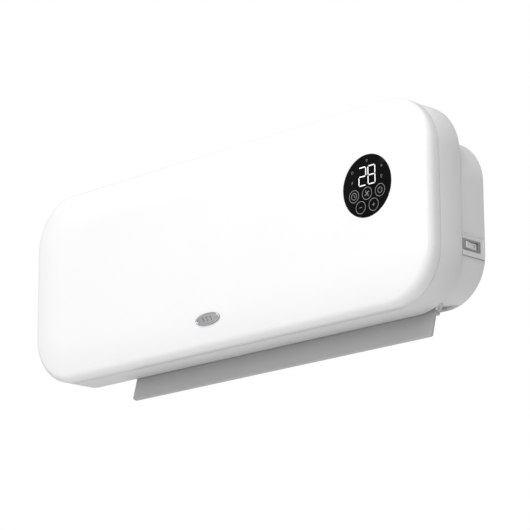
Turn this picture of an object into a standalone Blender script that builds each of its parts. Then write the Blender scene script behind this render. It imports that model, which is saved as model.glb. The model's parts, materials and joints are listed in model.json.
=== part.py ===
"""Wall-hung fan convector heater, as an assembly of separate parts.

Metres, +Z up. The front faces -Y and the wall plane is Y = 0. The origin is the centre of the wall
bracket's back face. Each object is one part; the louvre flap, its crank and link, the fan rotor and
the switch rocker are placed on their own axes.
"""

import math

import bmesh
import bpy
from mathutils import Vector

# ---- driving dimensions ----
PANEL_WIDTH = 0.550
PANEL_HEIGHT = 0.200
PANEL_CORNER = 0.054
PANEL_SIDE = 0.007  # straight side of the front panel, in front of the seam
PANEL_EDGE = 0.009  # radius of its front edge
PANEL_CROWN = 0.0036  # rise from that edge to the flat middle
PANEL_CROWN_WIDTH = 0.035
PANEL_WALL = 0.0025
PANEL_TONGUE = 0.004
TONGUE_WALL = 0.0015

RIM_DEPTH = 0.030
RIM_WALL = 0.0025
RIM_LIP = 0.006  # width of the rim's back plate at the sides and top of its window
RIM_FOOT = 0.0045  # the same below the window

CASE_WIDTH = 0.474
CASE_HEIGHT = 0.169
CASE_DEPTH = 0.034
CASE_CORNER = 0.050
CASE_INSET = 0.001  # step from the rim in to the casing
CASE_DRAFT = 0.004  # rise of the casing's bottom towards the wall
CASE_WALL = 0.0025
CASE_STANDOFF = 0.002  # space between the casing's back and the wall
BRACKET_RISE = 0.125  # height of the bracket's middle above the rim's bottom
CASE_X = 0.037  # from the bracket's middle to the casing's

GAP = 0.0003  # between pieces that touch
SLIDE = 0.0004  # between pieces that turn in one another

FLAP_LENGTH = 0.405
FLAP_CHORD = 0.0272
FLAP_SHEET = 0.002
FLAP_BARREL = 0.0018
FLAP_SETBACK = 0.0035  # hinge axis behind the rim's back
FLAP_OPEN = math.radians(104.3)  # from level, pointing at the wall, to the pose at rest
OUTLET_MARGIN = 0.003  # from the flap's ends to the ends of the outlet
OUTLET_BACK = 0.0006  # from the outlet's rear edge to the casing's back wall
SILL_LENGTH = 0.030  # ledges that the closed flap's ends lie under, from the outlet's ends inward
SILL_RISE = 0.0038
SILL_SHEET = 0.0013

FAN_RISE = 0.112
FAN_RADIUS = 0.022
FAN_BLADE = 0.0045  # radial depth of a blade
FAN_BLADES = 20
FAN_TWIST = 0.12  # turn of a blade's outer edge ahead of its inner edge, in radians
BLADE_SHARE = 0.22  # of the pitch between blades that a blade takes
IMPELLER_GAP = 0.004  # from the impeller's ends to the duct's end plates
HUB_RADIUS = 0.004
IMPELLER_WEB = 0.0015
FAN_CLEARANCE = 0.0035
SCROLL_GROWTH = 0.008
SCROLL_START = math.radians(78)
SCROLL_END = math.radians(262)
SHAFT_RADIUS = 0.0025
MOTOR_RADIUS = 0.023
MOTOR_LENGTH = 0.024
MOTOR_BOSS = 0.007
BOSS_LENGTH = 0.003
MOTOR_GAP = 0.005  # from the duct's left end plate to the motor
RING_RADIUS = 0.011
RING_WIDTH = 0.0024
MOTOR_BRACKET_HALF = 0.0145
BEARING_SEAT = 0.009
BEARING_RADIUS = 0.0055
DUCT_LEFT = 0.0065  # from the flap's left end to the duct's
DUCT_RIGHT = 0.0110
DUCT_SHEET = 0.0015
END_PLATE = 0.002
GRILLE_SHEET = 0.003

CORE_END = 0.014  # from the duct's ends to the heating element
CORE_RISE = 0.042
CORE_HEIGHT = 0.016
CORE_MARGIN = 0.002  # from the duct's walls to the element
HOLDER_MARGIN = 0.0012  # how far its holders stand out around it

LINK_RISE = 0.0300  # from the flap's axis up to the crank's axis
LINK_RUN = -0.0080  # the same, towards the wall
CRANK_RADIUS = 0.006  # length of the crank and of the flap's horn
HORN_TURN = math.radians(85)  # from the flap's sheet round to its horn
LINK_SHEET = 0.002
LINK_SETBACK = 0.0032  # from the flap's right end to the crank
PIN_RADIUS = 0.0010
EYE_RADIUS = 0.0026
FLAP_PIN = 0.0012
STEPPER_SHAFT = 0.0018
STEPPER_RADIUS = 0.013
STEPPER_LENGTH = 0.015

LENS_RADIUS = 0.030
LENS_INSET = 0.0716  # from the panel's right side to the lens's middle
LENS_RISE = 0.118
LENS_THICKNESS = 0.002
KEY_PITCH = 0.0162
KEY_DROP = 0.0073  # from the lens's middle to the upper row of keys
KEY_ROW = 0.0122
DIGITS = (0.025, 0.006, 0.023)
DIGITS_DROP = 0.0005  # from the lens's middle down to the digits' lower edge
BOARD_SHEET = 0.0016

CONTROL_INSET = 0.012  # from the panel's left side to the control board
CONTROL_LOWEST = 0.045  # from the panel's lower and upper edge to the board's
CONTROL_SETBACK = 0.009  # from the rim's back to the board
RELAY = (0.016, 0.016, 0.020)

BADGE_SHIFT = -0.009  # from the panel's middle
BADGE_RISE = 0.0283
BADGE_WIDTH = 0.033
BADGE_HEIGHT = 0.0115
BADGE_THICKNESS = 0.0012

SWITCH_RISE = 0.0585
SWITCH_PLATE = (0.0308, 0.021)
SWITCH_FRAME = (0.0238, 0.0100)
SWITCH_ROCKER = (0.0168, 0.0064)
ROCKER_TILT = math.radians(7)
ROCKER_PROUD = 0.0020  # from its axis out to its face
ROCKER_DEPTH = 0.0025  # its axis below the casing's side
SWITCH_DEPTH = 0.021
BEZEL_PROUD = 0.0010
BEZEL_BORDER = 0.0014
NOTCH_MARGIN = 0.001  # how far the plate covers the casing around its notch
TAB = (0.0055, 0.0008, 0.006)

BRACKET_SIZE = (0.300, 0.0015, 0.036)
HOOK_SPACING = 0.220
HOOK_WIDTH = 0.024
SCREW_HEAD = 0.0032
SCREW_SHANK = 0.0013
SCREW_LENGTH = 0.014
POST_RADIUS = 0.0045
GLAND_RADIUS = 0.008
GLAND_BORE = 0.0042
GLAND_PLACE = (0.026, 0.038)  # from the casing's lower left corner
BUMPER_RADIUS = 0.006
BUMPER_PLACE = (0.060, 0.032)
BRACKET_HOLES = (-0.060, 0.0, 0.060)
BRACKET_HOLE_DROP = 0.009
BRACKET_HOLE_RADIUS = 0.0025
HOOK_LOW = 0.0095
HOOK_SHEET_HIGH = 0.0112
HOOK_HIGH = 0.0150

# ---- planes and places that follow ----
BASE_Z = -BRACKET_RISE
CASE_BACK_Y = -CASE_STANDOFF
RIM_BACK_Y = CASE_BACK_Y - CASE_DEPTH
CASE_FRONT_Y = RIM_BACK_Y + GAP
SEAM_Y = RIM_BACK_Y - RIM_DEPTH
CASE_INNER_BACK_Y = CASE_BACK_Y - CASE_WALL
CASE_RIGHT_X = CASE_X + CASE_WIDTH / 2
CASE_LEFT_X = CASE_X - CASE_WIDTH / 2
PANEL_RIGHT_X = CASE_RIGHT_X + CASE_INSET
PANEL_LEFT_X = PANEL_RIGHT_X - PANEL_WIDTH
PANEL_X = (PANEL_LEFT_X + PANEL_RIGHT_X) / 2
CASE_BOTTOM_Z = BASE_Z + CASE_INSET
CASE_TOP_Z = CASE_BOTTOM_Z + CASE_HEIGHT
PANEL_Z = BASE_Z + PANEL_HEIGHT / 2

FLAP_LEFT_X = CASE_X - FLAP_LENGTH / 2
FLAP_RIGHT_X = CASE_X + FLAP_LENGTH / 2
HINGE_Y = RIM_BACK_Y + FLAP_SETBACK
HINGE_Z = CASE_BOTTOM_Z + CASE_DRAFT * FLAP_SETBACK / CASE_DEPTH + FLAP_BARREL
OUTLET_LEFT_X = FLAP_LEFT_X - OUTLET_MARGIN
OUTLET_RIGHT_X = FLAP_RIGHT_X + OUTLET_MARGIN

FAN_Y = RIM_BACK_Y
FAN_Z = BASE_Z + FAN_RISE
DUCT_LEFT_X = FLAP_LEFT_X + DUCT_LEFT
DUCT_RIGHT_X = FLAP_RIGHT_X - DUCT_RIGHT
DUCT_TOP_Z = CASE_TOP_Z - CASE_WALL - 0.006
DUCT_FOOT_Z = BASE_Z + 0.014
DUCT_FRONT_Y = RIM_BACK_Y + 0.0025
DUCT_BACK_Y = CASE_INNER_BACK_Y - DUCT_SHEET - GAP
INLET_FRONT_Y = RIM_BACK_Y + 0.008
INLET_BACK_Y = CASE_INNER_BACK_Y - 0.0035

CORE_LOW_Z = BASE_Z + CORE_RISE
CORE_HIGH_Z = CORE_LOW_Z + CORE_HEIGHT
CORE_FRONT_Y = DUCT_FRONT_Y + CORE_MARGIN
CORE_BACK_Y = DUCT_BACK_Y - CORE_MARGIN
MOTOR_RIGHT_X = DUCT_LEFT_X - END_PLATE - MOTOR_GAP
MOTOR_LEFT_X = MOTOR_RIGHT_X - MOTOR_LENGTH
CRANK_LEFT_X = FLAP_RIGHT_X - LINK_SETBACK
STEPPER_LEFT_X = CRANK_LEFT_X + 0.0035

PANEL_FRONT_Y = SEAM_Y - PANEL_SIDE - PANEL_EDGE - PANEL_CROWN
LENS_X = PANEL_RIGHT_X - LENS_INSET
LENS_Z = BASE_Z + LENS_RISE
LENS_BACK_Y = PANEL_FRONT_Y + LENS_THICKNESS
DISPLAY_BOARD_Y = LENS_BACK_Y + GAP + DIGITS[1] + GAP

CONTROL_LEFT_X = PANEL_LEFT_X + CONTROL_INSET
CONTROL_RIGHT_X = CASE_LEFT_X - 0.004
CONTROL_Y = RIM_BACK_Y - CONTROL_SETBACK
CONTROL_LOW_Z = BASE_Z + CONTROL_LOWEST
CONTROL_HIGH_Z = BASE_Z + PANEL_HEIGHT - CONTROL_LOWEST

SWITCH_Z = BASE_Z + SWITCH_RISE
SWITCH_FRONT_Y = CASE_FRONT_Y + GAP
SWITCH_BACK_Y = SWITCH_FRONT_Y + SWITCH_PLATE[0]
SWITCH_MIDDLE_Y = SWITCH_FRONT_Y + 2 * GAP + SWITCH_FRAME[0] / 2


# ---- materials ----
def finish(name, colour, roughness, metallic=0.0, emission=0.0):
    """A Principled BSDF with one colour, made once for each name."""
    found = bpy.data.materials.get(name)
    if found:
        return found
    material = bpy.data.materials.new(name)
    material.use_nodes = True
    shader = material.node_tree.nodes["Principled BSDF"]
    shader.inputs["Base Color"].default_value = (*colour, 1)
    shader.inputs["Roughness"].default_value = roughness
    shader.inputs["Metallic"].default_value = metallic
    shader.inputs["Emission Color"].default_value = (*colour, 1)
    shader.inputs["Emission Strength"].default_value = emission
    material.diffuse_color = (*colour, 1)
    return material


def white_gloss():
    return finish("white_gloss_plastic", (0.90, 0.90, 0.90), 0.28)


def white_satin():
    return finish("white_satin_plastic", (0.78, 0.78, 0.78), 0.45)


def grey_plastic():
    return finish("grey_plastic", (0.42, 0.42, 0.43), 0.5)


def dark_plastic():
    return finish("dark_plastic", (0.06, 0.06, 0.065), 0.5)


def black_glass():
    return finish("black_glass", (0.008, 0.008, 0.009), 0.06)


def chrome():
    return finish("chrome", (0.75, 0.75, 0.77), 0.12, 1.0)


def steel():
    return finish("zinc_steel", (0.55, 0.55, 0.56), 0.38, 1.0)


def aluminium():
    return finish("aluminium", (0.72, 0.72, 0.73), 0.42, 1.0)


def brass():
    return finish("tinned_brass", (0.70, 0.62, 0.42), 0.35, 1.0)


def rubber():
    return finish("rubber", (0.03, 0.03, 0.03), 0.8)


def circuit_board():
    return finish("circuit_board", (0.03, 0.16, 0.07), 0.45)


def white_ceramic():
    return finish("white_ceramic", (0.72, 0.70, 0.66), 0.6)


# ---- solids ----
def new_object(name, mesh, material, origin):
    mesh.materials.append(material)
    mesh.shade_smooth()
    mesh.set_sharp_from_angle(angle=math.radians(35))
    made = bpy.data.objects.new(name, mesh)
    made.location = origin
    bpy.context.scene.collection.objects.link(made)
    return made


def from_faces(name, points, faces, material, origin=(0, 0, 0)):
    """An object from world points and faces, with its origin where asked and its faces outward."""
    start = Vector(origin)
    work = bmesh.new()
    corners = [work.verts.new(Vector(point) - start) for point in points]
    for face in faces:
        work.faces.new([corners[index] for index in face])
    bmesh.ops.recalc_face_normals(work, faces=work.faces)
    mesh = bpy.data.meshes.new(name)
    work.to_mesh(mesh)
    work.free()
    return new_object(name, mesh, material, origin)


def loft(name, loops, material, ring=False, origin=(0, 0, 0)):
    """Loops of equal count joined in turn: a ring joins the last to the first, else both ends are capped."""
    count = len(loops[0])
    points = [point for loop in loops for point in loop]
    faces = []
    for row in range(len(loops) if ring else len(loops) - 1):
        here = row * count
        after = (row + 1) % len(loops) * count
        for i in range(count):
            j = (i + 1) % count
            faces.append((here + i, here + j, after + j, after + i))
    if not ring:
        faces.append(tuple(range(count))[::-1])
        faces.append(tuple(range(len(points) - count, len(points))))
    return from_faces(name, points, faces, material, origin)


def box(name, low, high, material, origin=(0, 0, 0)):
    loops = [
        [(x, low[1], low[2]), (x, high[1], low[2]), (x, high[1], high[2]), (x, low[1], high[2])]
        for x in (low[0], high[0])
    ]
    return loft(name, loops, material, origin=origin)


def along(axis, a, b, position):
    """A point with a and b in the plane across an axis: (y, z) across X, (x, z) across Y, (x, y) across Z."""
    return {"X": (position, a, b), "Y": (a, position, b), "Z": (a, b, position)}[axis]


def prism(name, outline, axis, low, high, material, origin=(0, 0, 0)):
    """A flat outline carried along an axis from low to high."""
    loops = [[along(axis, a, b, position) for a, b in outline] for position in (low, high)]
    return loft(name, loops, material, origin=origin)


def circle(a, b, radius, sides=20):
    steps = [2 * math.pi * i / sides for i in range(sides)]
    return [(a + radius * math.cos(turn), b + radius * math.sin(turn)) for turn in steps]


def disc(name, axis, centre, radius, low, high, material, sides=20, origin=(0, 0, 0)):
    return prism(name, circle(*centre, radius, sides), axis, low, high, material, origin)


def turned(name, axis, centre, profile, material, sides=20, ring=False, origin=(0, 0, 0)):
    """Circles of given (radius, position) along an axis; a ring leaves the middle open."""
    loops = [
        [along(axis, a, b, position) for a, b in circle(*centre, radius, sides)]
        for radius, position in profile
    ]
    return loft(name, loops, material, ring, origin)


def round_rectangle(x, z, width, height, radius, steps=8):
    """Outline points of a rectangle with round corners, counter-clockwise from the right bottom corner."""
    outline = []
    for corner, (side, level) in enumerate(((1, -1), (1, 1), (-1, 1), (-1, -1))):
        middle_x = x + side * (width / 2 - radius)
        middle_z = z + level * (height / 2 - radius)
        for step in range(steps + 1):
            turn = math.radians(90 * (corner - 1) + 90 * step / steps)
            outline.append((middle_x + radius * math.cos(turn), middle_z + radius * math.sin(turn)))
    return outline


def lattice(name, counts, place, solid, material, wrap=False, origin=(0, 0, 0)):
    """A solid made of the lattice cells where solid(i, j, k) is true; wrap closes the first direction."""
    cells = {
        (i, j, k)
        for i in range(counts[0])
        for j in range(counts[1])
        for k in range(counts[2])
        if solid(i, j, k)
    }
    numbers = {}
    points = []

    def corner(i, j, k):
        key = (i % counts[0] if wrap else i, j, k)
        if key not in numbers:
            numbers[key] = len(points)
            points.append(place(*key))
        return numbers[key]

    steps = ((1, 0, 0), (0, 1, 0), (0, 0, 1))
    faces = []
    for cell in sorted(cells):
        for side, across in enumerate(steps):
            first, second = steps[(side + 1) % 3], steps[(side + 2) % 3]
            for way in (0, 1):
                beside = [cell[n] + (across[n] if way else -across[n]) for n in range(3)]
                if wrap:
                    beside[0] %= counts[0]
                if tuple(beside) in cells:
                    continue
                start = [cell[n] + way * across[n] for n in range(3)]
                face = []
                for a, b in ((0, 0), (1, 0), (1, 1), (0, 1)):
                    face.append(corner(*(start[n] + a * first[n] + b * second[n] for n in range(3))))
                faces.append(face)
    return from_faces(name, points, faces, material, origin)


def slotted(name, low, high, slots, rows, edge, rib, material):
    """A plate across Z with rows of slots along X, a border of width edge and ribs between the slots."""
    pitch = (high[0] - low[0] - 2 * edge + rib) / slots
    columns = [low[0]]
    for slot in range(slots):
        columns += [low[0] + edge + slot * pitch, low[0] + edge + (slot + 1) * pitch - rib]
    columns.append(high[0])
    depth = (high[1] - low[1] - 2 * edge + rib) / rows
    lines = [low[1]]
    for row in range(rows):
        lines += [low[1] + edge + row * depth, low[1] + edge + (row + 1) * depth - rib]
    lines.append(high[1])
    levels = (low[2], high[2])
    return lattice(
        name,
        (len(columns) - 1, len(lines) - 1, 1),
        lambda i, j, k: (columns[i], lines[j], levels[k]),
        lambda i, j, k: i % 2 == 0 or j % 2 == 0,
        material,
    )


def sheet_outline(path, thickness):
    """The outline of a bent sheet: its path of (y, z) points, and back along the path one thickness over."""
    moved = []
    for n, point in enumerate(path):
        before = Vector(path[max(n - 1, 0)])
        after = Vector(path[min(n + 1, len(path) - 1)])
        run = (after - before).normalized()
        moved.append((point[0] + run.y * thickness, point[1] - run.x * thickness))
    return list(path) + moved[::-1]


def combine(target, other, operation):
    """Cuts the other object from the target, or joins it on; the other stays as a hidden helper."""
    other.hide_render = True
    other.display_type = "WIRE"
    step = target.modifiers.new(other.name, "BOOLEAN")
    step.operation = operation
    step.solver = "EXACT"
    step.object = other


def cut(target, other):
    combine(target, other, "DIFFERENCE")


def join(target, other):
    combine(target, other, "UNION")


# ---- outer shell ----
def panel_depth(inset):
    """How far the front panel stands in front of the seam, this far in from its outline."""
    slope = 2 * PANEL_CROWN / PANEL_CROWN_WIDTH
    turn_end = math.pi / 2 - math.atan(slope)
    edge_inset = PANEL_EDGE * (1 - math.cos(turn_end))
    edge_depth = PANEL_SIDE + PANEL_EDGE * math.sin(turn_end)
    share = min(1, (inset - edge_inset) / PANEL_CROWN_WIDTH)
    return edge_depth + PANEL_CROWN * (1 - (1 - share) ** 2)


def panel_profile(wall):
    """(inset, depth) from the seam to the flat middle, for the outer face or, with a wall, the inner one."""
    radius = PANEL_EDGE - wall
    slope = 2 * PANEL_CROWN / PANEL_CROWN_WIDTH
    turn_end = math.pi / 2 - math.atan(slope)
    profile = []
    for step in range(5):
        turn = turn_end * step / 4
        profile.append((PANEL_EDGE - radius * math.cos(turn), PANEL_SIDE + radius * math.sin(turn)))
    start = PANEL_EDGE * (1 - math.cos(turn_end))
    for step in range(1, 5):
        inset = start + PANEL_CROWN_WIDTH * step / 4
        profile.append((inset + wall / 2 * (step < 4), panel_depth(inset) - wall))
    return profile


def panel_loop(inset, depth, steps=8):
    outline = round_rectangle(
        PANEL_X, PANEL_Z, PANEL_WIDTH - 2 * inset, PANEL_HEIGHT - 2 * inset, PANEL_CORNER - inset, steps
    )
    return [(x, SEAM_Y - depth, z) for x, z in outline]


def front_panel():
    """Pillowed front cover with a tongue that slides inside the rim and a round window for the display."""
    tongue = RIM_WALL + GAP
    inside = tongue + TONGUE_WALL
    seat = [
        (PANEL_WALL, PANEL_SIDE * 0.7),
        (inside, PANEL_SIDE * 0.4),
        (inside, -PANEL_TONGUE),
        (tongue, -PANEL_TONGUE),
        (tongue, 0),
        (0, 0),
    ]
    profile = panel_profile(PANEL_WALL)[::-1] + seat + panel_profile(0)
    panel = loft("front_panel", [panel_loop(*point) for point in profile], white_gloss())
    window = disc(
        "panel_window_cut",
        "Y",
        (LENS_X, LENS_Z),
        LENS_RADIUS + GAP,
        PANEL_FRONT_Y - 0.01,
        SEAM_Y - PANEL_SIDE,
        dark_plastic(),
        48,
    )
    cut(panel, window)
    return panel


def case_outline(inset, y, steps=8):
    """The casing's outline at a depth: its bottom rises towards the wall and its corners tighten."""
    share = (y - CASE_FRONT_Y) / (CASE_BACK_Y - CASE_FRONT_Y)
    low = CASE_BOTTOM_Z + CASE_DRAFT * share + inset
    high = CASE_TOP_Z - inset
    radius = CASE_CORNER - CASE_DRAFT * share - inset
    outline = round_rectangle(CASE_X, (low + high) / 2, CASE_WIDTH - 2 * inset, high - low, radius, steps)
    return [(x, y, z) for x, z in outline]


def post_places():
    """Middles (x, z) of the four posts that the casing is screwed to, in its corners."""
    reach = CASE_CORNER - CASE_WALL - GAP - POST_RADIUS
    places = []
    for side, level, turn in ((-1, -1, 45), (-1, 1, 45), (1, -1, 30), (1, 1, 45)):
        draft = CASE_DRAFT if level < 0 else 0
        middle_x = CASE_X + side * (CASE_WIDTH / 2 - CASE_CORNER + draft)
        middle_z = CASE_BOTTOM_Z + CASE_CORNER if level < 0 else CASE_TOP_Z - CASE_CORNER
        across = (reach - draft) * math.cos(math.radians(turn))
        up = (reach - draft) * math.sin(math.radians(turn))
        places.append((middle_x + side * across, middle_z + level * up))
    return places


def front_frame():
    """Rim between the panel and the casing: a deep outer wall, a back plate with a window, and four posts."""
    window_low = BASE_Z + RIM_FOOT
    window_high = CASE_TOP_Z - RIM_LIP
    window = round_rectangle(
        CASE_X,
        (window_low + window_high) / 2,
        CASE_WIDTH - 2 * RIM_LIP,
        window_high - window_low,
        CASE_CORNER - RIM_LIP,
    )
    inner_y = RIM_BACK_Y - RIM_WALL
    loops = [
        panel_loop(0, -GAP),
        panel_loop(0, -RIM_DEPTH),
        [(x, RIM_BACK_Y, z) for x, z in window],
        [(x, inner_y, z) for x, z in window],
        panel_loop(RIM_WALL, RIM_WALL - RIM_DEPTH),
        panel_loop(RIM_WALL, -GAP),
    ]
    frame = loft("front_frame", loops, white_satin(), ring=True)
    for number, place in enumerate(post_places(), 1):
        post_end = CASE_INNER_BACK_Y - GAP
        start = inner_y - 0.004
        deep = post_end - SCREW_LENGTH - 0.002
        join(frame, disc(f"frame_post_{number}", "Y", place, POST_RADIUS, start, post_end, white_satin(), 16))
        cut(frame, disc(f"frame_bore_{number}", "Y", place, SCREW_SHANK + GAP, deep, 0, white_satin(), 16))
    return frame


def rear_casing():
    """Tray against the wall with cuts for the inlet, outlet, switch, screws, hooks and cable gland."""
    chamfer = 0.0012
    loops = [
        case_outline(CASE_WALL, CASE_INNER_BACK_Y),
        case_outline(CASE_WALL, CASE_FRONT_Y),
        case_outline(0, CASE_FRONT_Y),
        case_outline(0, CASE_BACK_Y - chamfer),
        case_outline(chamfer, CASE_BACK_Y),
    ]
    casing = loft("rear_casing", loops, white_satin())
    for opening in casing_openings():
        cut(casing, opening)
    for sill in outlet_sills():
        join(casing, sill)
    return casing


def case_bottom(y):
    """Height of the casing's underside, which rises towards the wall."""
    return CASE_BOTTOM_Z + CASE_DRAFT * (y - CASE_FRONT_Y) / (CASE_BACK_Y - CASE_FRONT_Y)


def outlet_sills():
    """Ledges over the outlet's two ends, behind the link and above the closed flap."""
    front = HINGE_Y + CRANK_RADIUS + EYE_RADIUS + GAP
    back = CASE_INNER_BACK_Y + 0.001
    lap = 0.001
    for name, start, end in (
        ("sill_left", OUTLET_LEFT_X - lap, OUTLET_LEFT_X + SILL_LENGTH),
        ("sill_right", OUTLET_RIGHT_X - SILL_LENGTH, OUTLET_RIGHT_X + lap),
    ):
        low = [(y, case_bottom(y) + SILL_RISE) for y in (front, back)]
        high = [(y, z + SILL_SHEET) for y, z in low[::-1]]
        yield prism(name, low + high, "X", start, end, white_satin())


def casing_openings():
    past = 0.01
    top = CASE_TOP_Z
    yield box(
        "inlet_cut",
        (DUCT_LEFT_X, INLET_FRONT_Y, top - past),
        (DUCT_RIGHT_X, INLET_BACK_Y, top + past),
        white_satin(),
    )
    yield box(
        "outlet_cut",
        (OUTLET_LEFT_X, CASE_FRONT_Y - past, BASE_Z - past),
        (OUTLET_RIGHT_X, CASE_INNER_BACK_Y - OUTLET_BACK, CASE_BOTTOM_Z + past),
        white_satin(),
    )
    yield box(
        "switch_cut",
        (CASE_RIGHT_X - past, CASE_FRONT_Y - past, SWITCH_Z - SWITCH_PLATE[1] / 2 + NOTCH_MARGIN),
        (CASE_RIGHT_X + past, SWITCH_BACK_Y - NOTCH_MARGIN, SWITCH_Z + SWITCH_PLATE[1] / 2 - NOTCH_MARGIN),
        white_satin(),
    )
    for number, x in enumerate(hook_places(), 1):
        half = HOOK_WIDTH / 2 + 0.002
        yield box(
            f"hook_slot_cut_{number}",
            (x - half, CASE_INNER_BACK_Y - past, -0.004),
            (x + half, past, HOOK_SHEET_HIGH + GAP),
            white_satin(),
        )
    for number, place in enumerate(post_places(), 1):
        start = CASE_INNER_BACK_Y - past
        yield disc(f"screw_hole_cut_{number}", "Y", place, SCREW_SHANK + GAP, start, past, white_satin(), 16)
    radius = GLAND_RADIUS + GAP
    yield disc("gland_cut", "Y", gland_place(), radius, CASE_INNER_BACK_Y - past, past, white_satin(), 24)


def lens():
    face_y = PANEL_FRONT_Y
    loops = (
        (LENS_RADIUS, face_y + LENS_THICKNESS),
        (LENS_RADIUS, face_y + 0.0003),
        (LENS_RADIUS - 0.0003, face_y),
    )
    return turned("display_lens", "Y", (LENS_X, LENS_Z), loops, black_glass(), 64)


def badge():
    """Plain oval emblem with a raised border, on the slope of the panel above its lower edge."""
    inset = BADGE_RISE
    slope = (panel_depth(inset + 0.001) - panel_depth(inset - 0.001)) / 0.002
    face_y = SEAM_Y - panel_depth(inset) - GAP - 0.0001
    middle_z = BASE_Z + BADGE_RISE
    border = 0.0012

    def ring(shrink, height):
        loop = []
        for x, z in circle(0, 0, 1, 40):
            across = x * (BADGE_WIDTH / 2 - shrink)
            up = z * (BADGE_HEIGHT / 2 - shrink)
            loop.append((PANEL_X + BADGE_SHIFT + across, face_y - height - slope * up, middle_z + up))
        return loop

    loops = [
        ring(0, 0),
        ring(0, BADGE_THICKNESS - 0.0003),
        ring(0.0003, BADGE_THICKNESS),
        ring(border, BADGE_THICKNESS),
        ring(border + 0.0002, BADGE_THICKNESS - 0.0005),
    ]
    return loft("badge", loops, chrome())


# ---- display and keys ----
def key_places():
    """Middles (x, z) of the three upper keys and the two lower ones."""
    upper = LENS_Z - KEY_DROP
    lower = upper - KEY_ROW
    return (
        (LENS_X - KEY_PITCH, upper),
        (LENS_X, upper),
        (LENS_X + KEY_PITCH, upper),
        (LENS_X - KEY_PITCH / 2, lower),
        (LENS_X + KEY_PITCH / 2, lower),
    )


def digit_module():
    width, depth, height = DIGITS
    low = (LENS_X - width / 2, LENS_BACK_Y + GAP, LENS_Z - DIGITS_DROP)
    high = (LENS_X + width / 2, LENS_BACK_Y + GAP + depth, LENS_Z - DIGITS_DROP + height)
    return box("digit_module", low, high, dark_plastic())


def display_board():
    radius = LENS_RADIUS - 0.001
    back = DISPLAY_BOARD_Y + BOARD_SHEET
    return disc("display_board", "Y", (LENS_X, LENS_Z), radius, DISPLAY_BOARD_Y, back, circuit_board(), 40)


def touch_springs():
    """Coil contacts between the board and the lens, one behind each key, each as its outer sleeve."""
    outer = 0.0045
    inner = 0.0033
    for number, place in enumerate(key_places(), 1):
        low = LENS_BACK_Y + GAP
        high = DISPLAY_BOARD_Y - GAP
        profile = ((outer, low), (outer, high), (inner, high), (inner, low))
        turned(f"touch_spring_{number}", "Y", place, profile, steel(), 16, ring=True)


def receiver():
    """Infrared receiver on the display board, above the digits."""
    half_x = 0.0025
    half_z = 0.002
    z = LENS_Z - DIGITS_DROP + DIGITS[2] + GAP + half_z
    low = (LENS_X - half_x, LENS_BACK_Y + 0.002, z - half_z)
    high = (LENS_X + half_x, DISPLAY_BOARD_Y - GAP, z + half_z)
    return box("infrared_receiver", low, high, dark_plastic())


# ---- control electronics, in the wing left of the casing ----
def control_board():
    low = (CONTROL_LEFT_X, CONTROL_Y, CONTROL_LOW_Z)
    high = (CONTROL_RIGHT_X, CONTROL_Y + BOARD_SHEET, CONTROL_HIGH_Z)
    return box("control_board", low, high, circuit_board())


def on_board(name, x_share, z_share, size, material):
    """A block on the room side of the control board, centred at shares of the board's width and height."""
    x = CONTROL_LEFT_X + x_share * (CONTROL_RIGHT_X - CONTROL_LEFT_X)
    z = CONTROL_LOW_Z + z_share * (CONTROL_HIGH_Z - CONTROL_LOW_Z)
    face = CONTROL_Y - GAP
    return box(
        name,
        (x - size[0] / 2, face - size[1], z - size[2] / 2),
        (x + size[0] / 2, face, z + size[2] / 2),
        material,
    )


def board_parts():
    on_board("relay_1", 0.22, 0.84, RELAY, dark_plastic())
    on_board("relay_2", 0.62, 0.84, RELAY, dark_plastic())
    on_board("transformer", 0.32, 0.52, (0.022, 0.018, 0.024), grey_plastic())
    on_board("terminal_block", 0.45, 0.12, (0.036, 0.012, 0.012), grey_plastic())
    x = CONTROL_LEFT_X + 0.76 * (CONTROL_RIGHT_X - CONTROL_LEFT_X)
    z = CONTROL_LOW_Z + 0.50 * (CONTROL_HIGH_Z - CONTROL_LOW_Z)
    face = CONTROL_Y - GAP
    disc("capacitor", "Y", (x, z + 0.008), 0.005, face - 0.018, face, dark_plastic(), 16)
    disc("buzzer", "Y", (x, z - 0.010), 0.006, face - 0.007, face, dark_plastic(), 16)


# ---- mains switch on the right side ----
def switch_bezel():
    """Plate over the notch in the casing's side, with a raised border and a hole for the switch."""
    half = SWITCH_PLATE[1] / 2
    face = CASE_RIGHT_X + BEZEL_PROUD
    body = half - NOTCH_MARGIN - GAP
    hole_y = SWITCH_FRAME[0] / 2 + GAP
    hole_z = SWITCH_FRAME[1] / 2 + GAP
    recess_z = half - BEZEL_BORDER
    past = 0.005
    plate = box(
        "switch_bezel",
        (CASE_RIGHT_X + GAP, SWITCH_FRONT_Y, SWITCH_Z - half),
        (face, SWITCH_BACK_Y, SWITCH_Z + half),
        white_satin(),
    )
    inside = box(
        "bezel_body",
        (CASE_RIGHT_X - 0.004, SWITCH_FRONT_Y + GAP, SWITCH_Z - body),
        (CASE_RIGHT_X + 2 * GAP, SWITCH_BACK_Y - NOTCH_MARGIN - GAP, SWITCH_Z + body),
        white_satin(),
    )
    recess = box(
        "bezel_recess_cut",
        (face - 0.0005, SWITCH_FRONT_Y - past, SWITCH_Z - recess_z),
        (face + past, SWITCH_BACK_Y - BEZEL_BORDER, SWITCH_Z + recess_z),
        white_satin(),
    )
    hole = box(
        "bezel_hole_cut",
        (CASE_RIGHT_X - 2 * past, SWITCH_MIDDLE_Y - hole_y, SWITCH_Z - hole_z),
        (face + past, SWITCH_MIDDLE_Y + hole_y, SWITCH_Z + hole_z),
        white_satin(),
    )
    join(plate, inside)
    cut(plate, recess)
    cut(plate, hole)
    return plate


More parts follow.
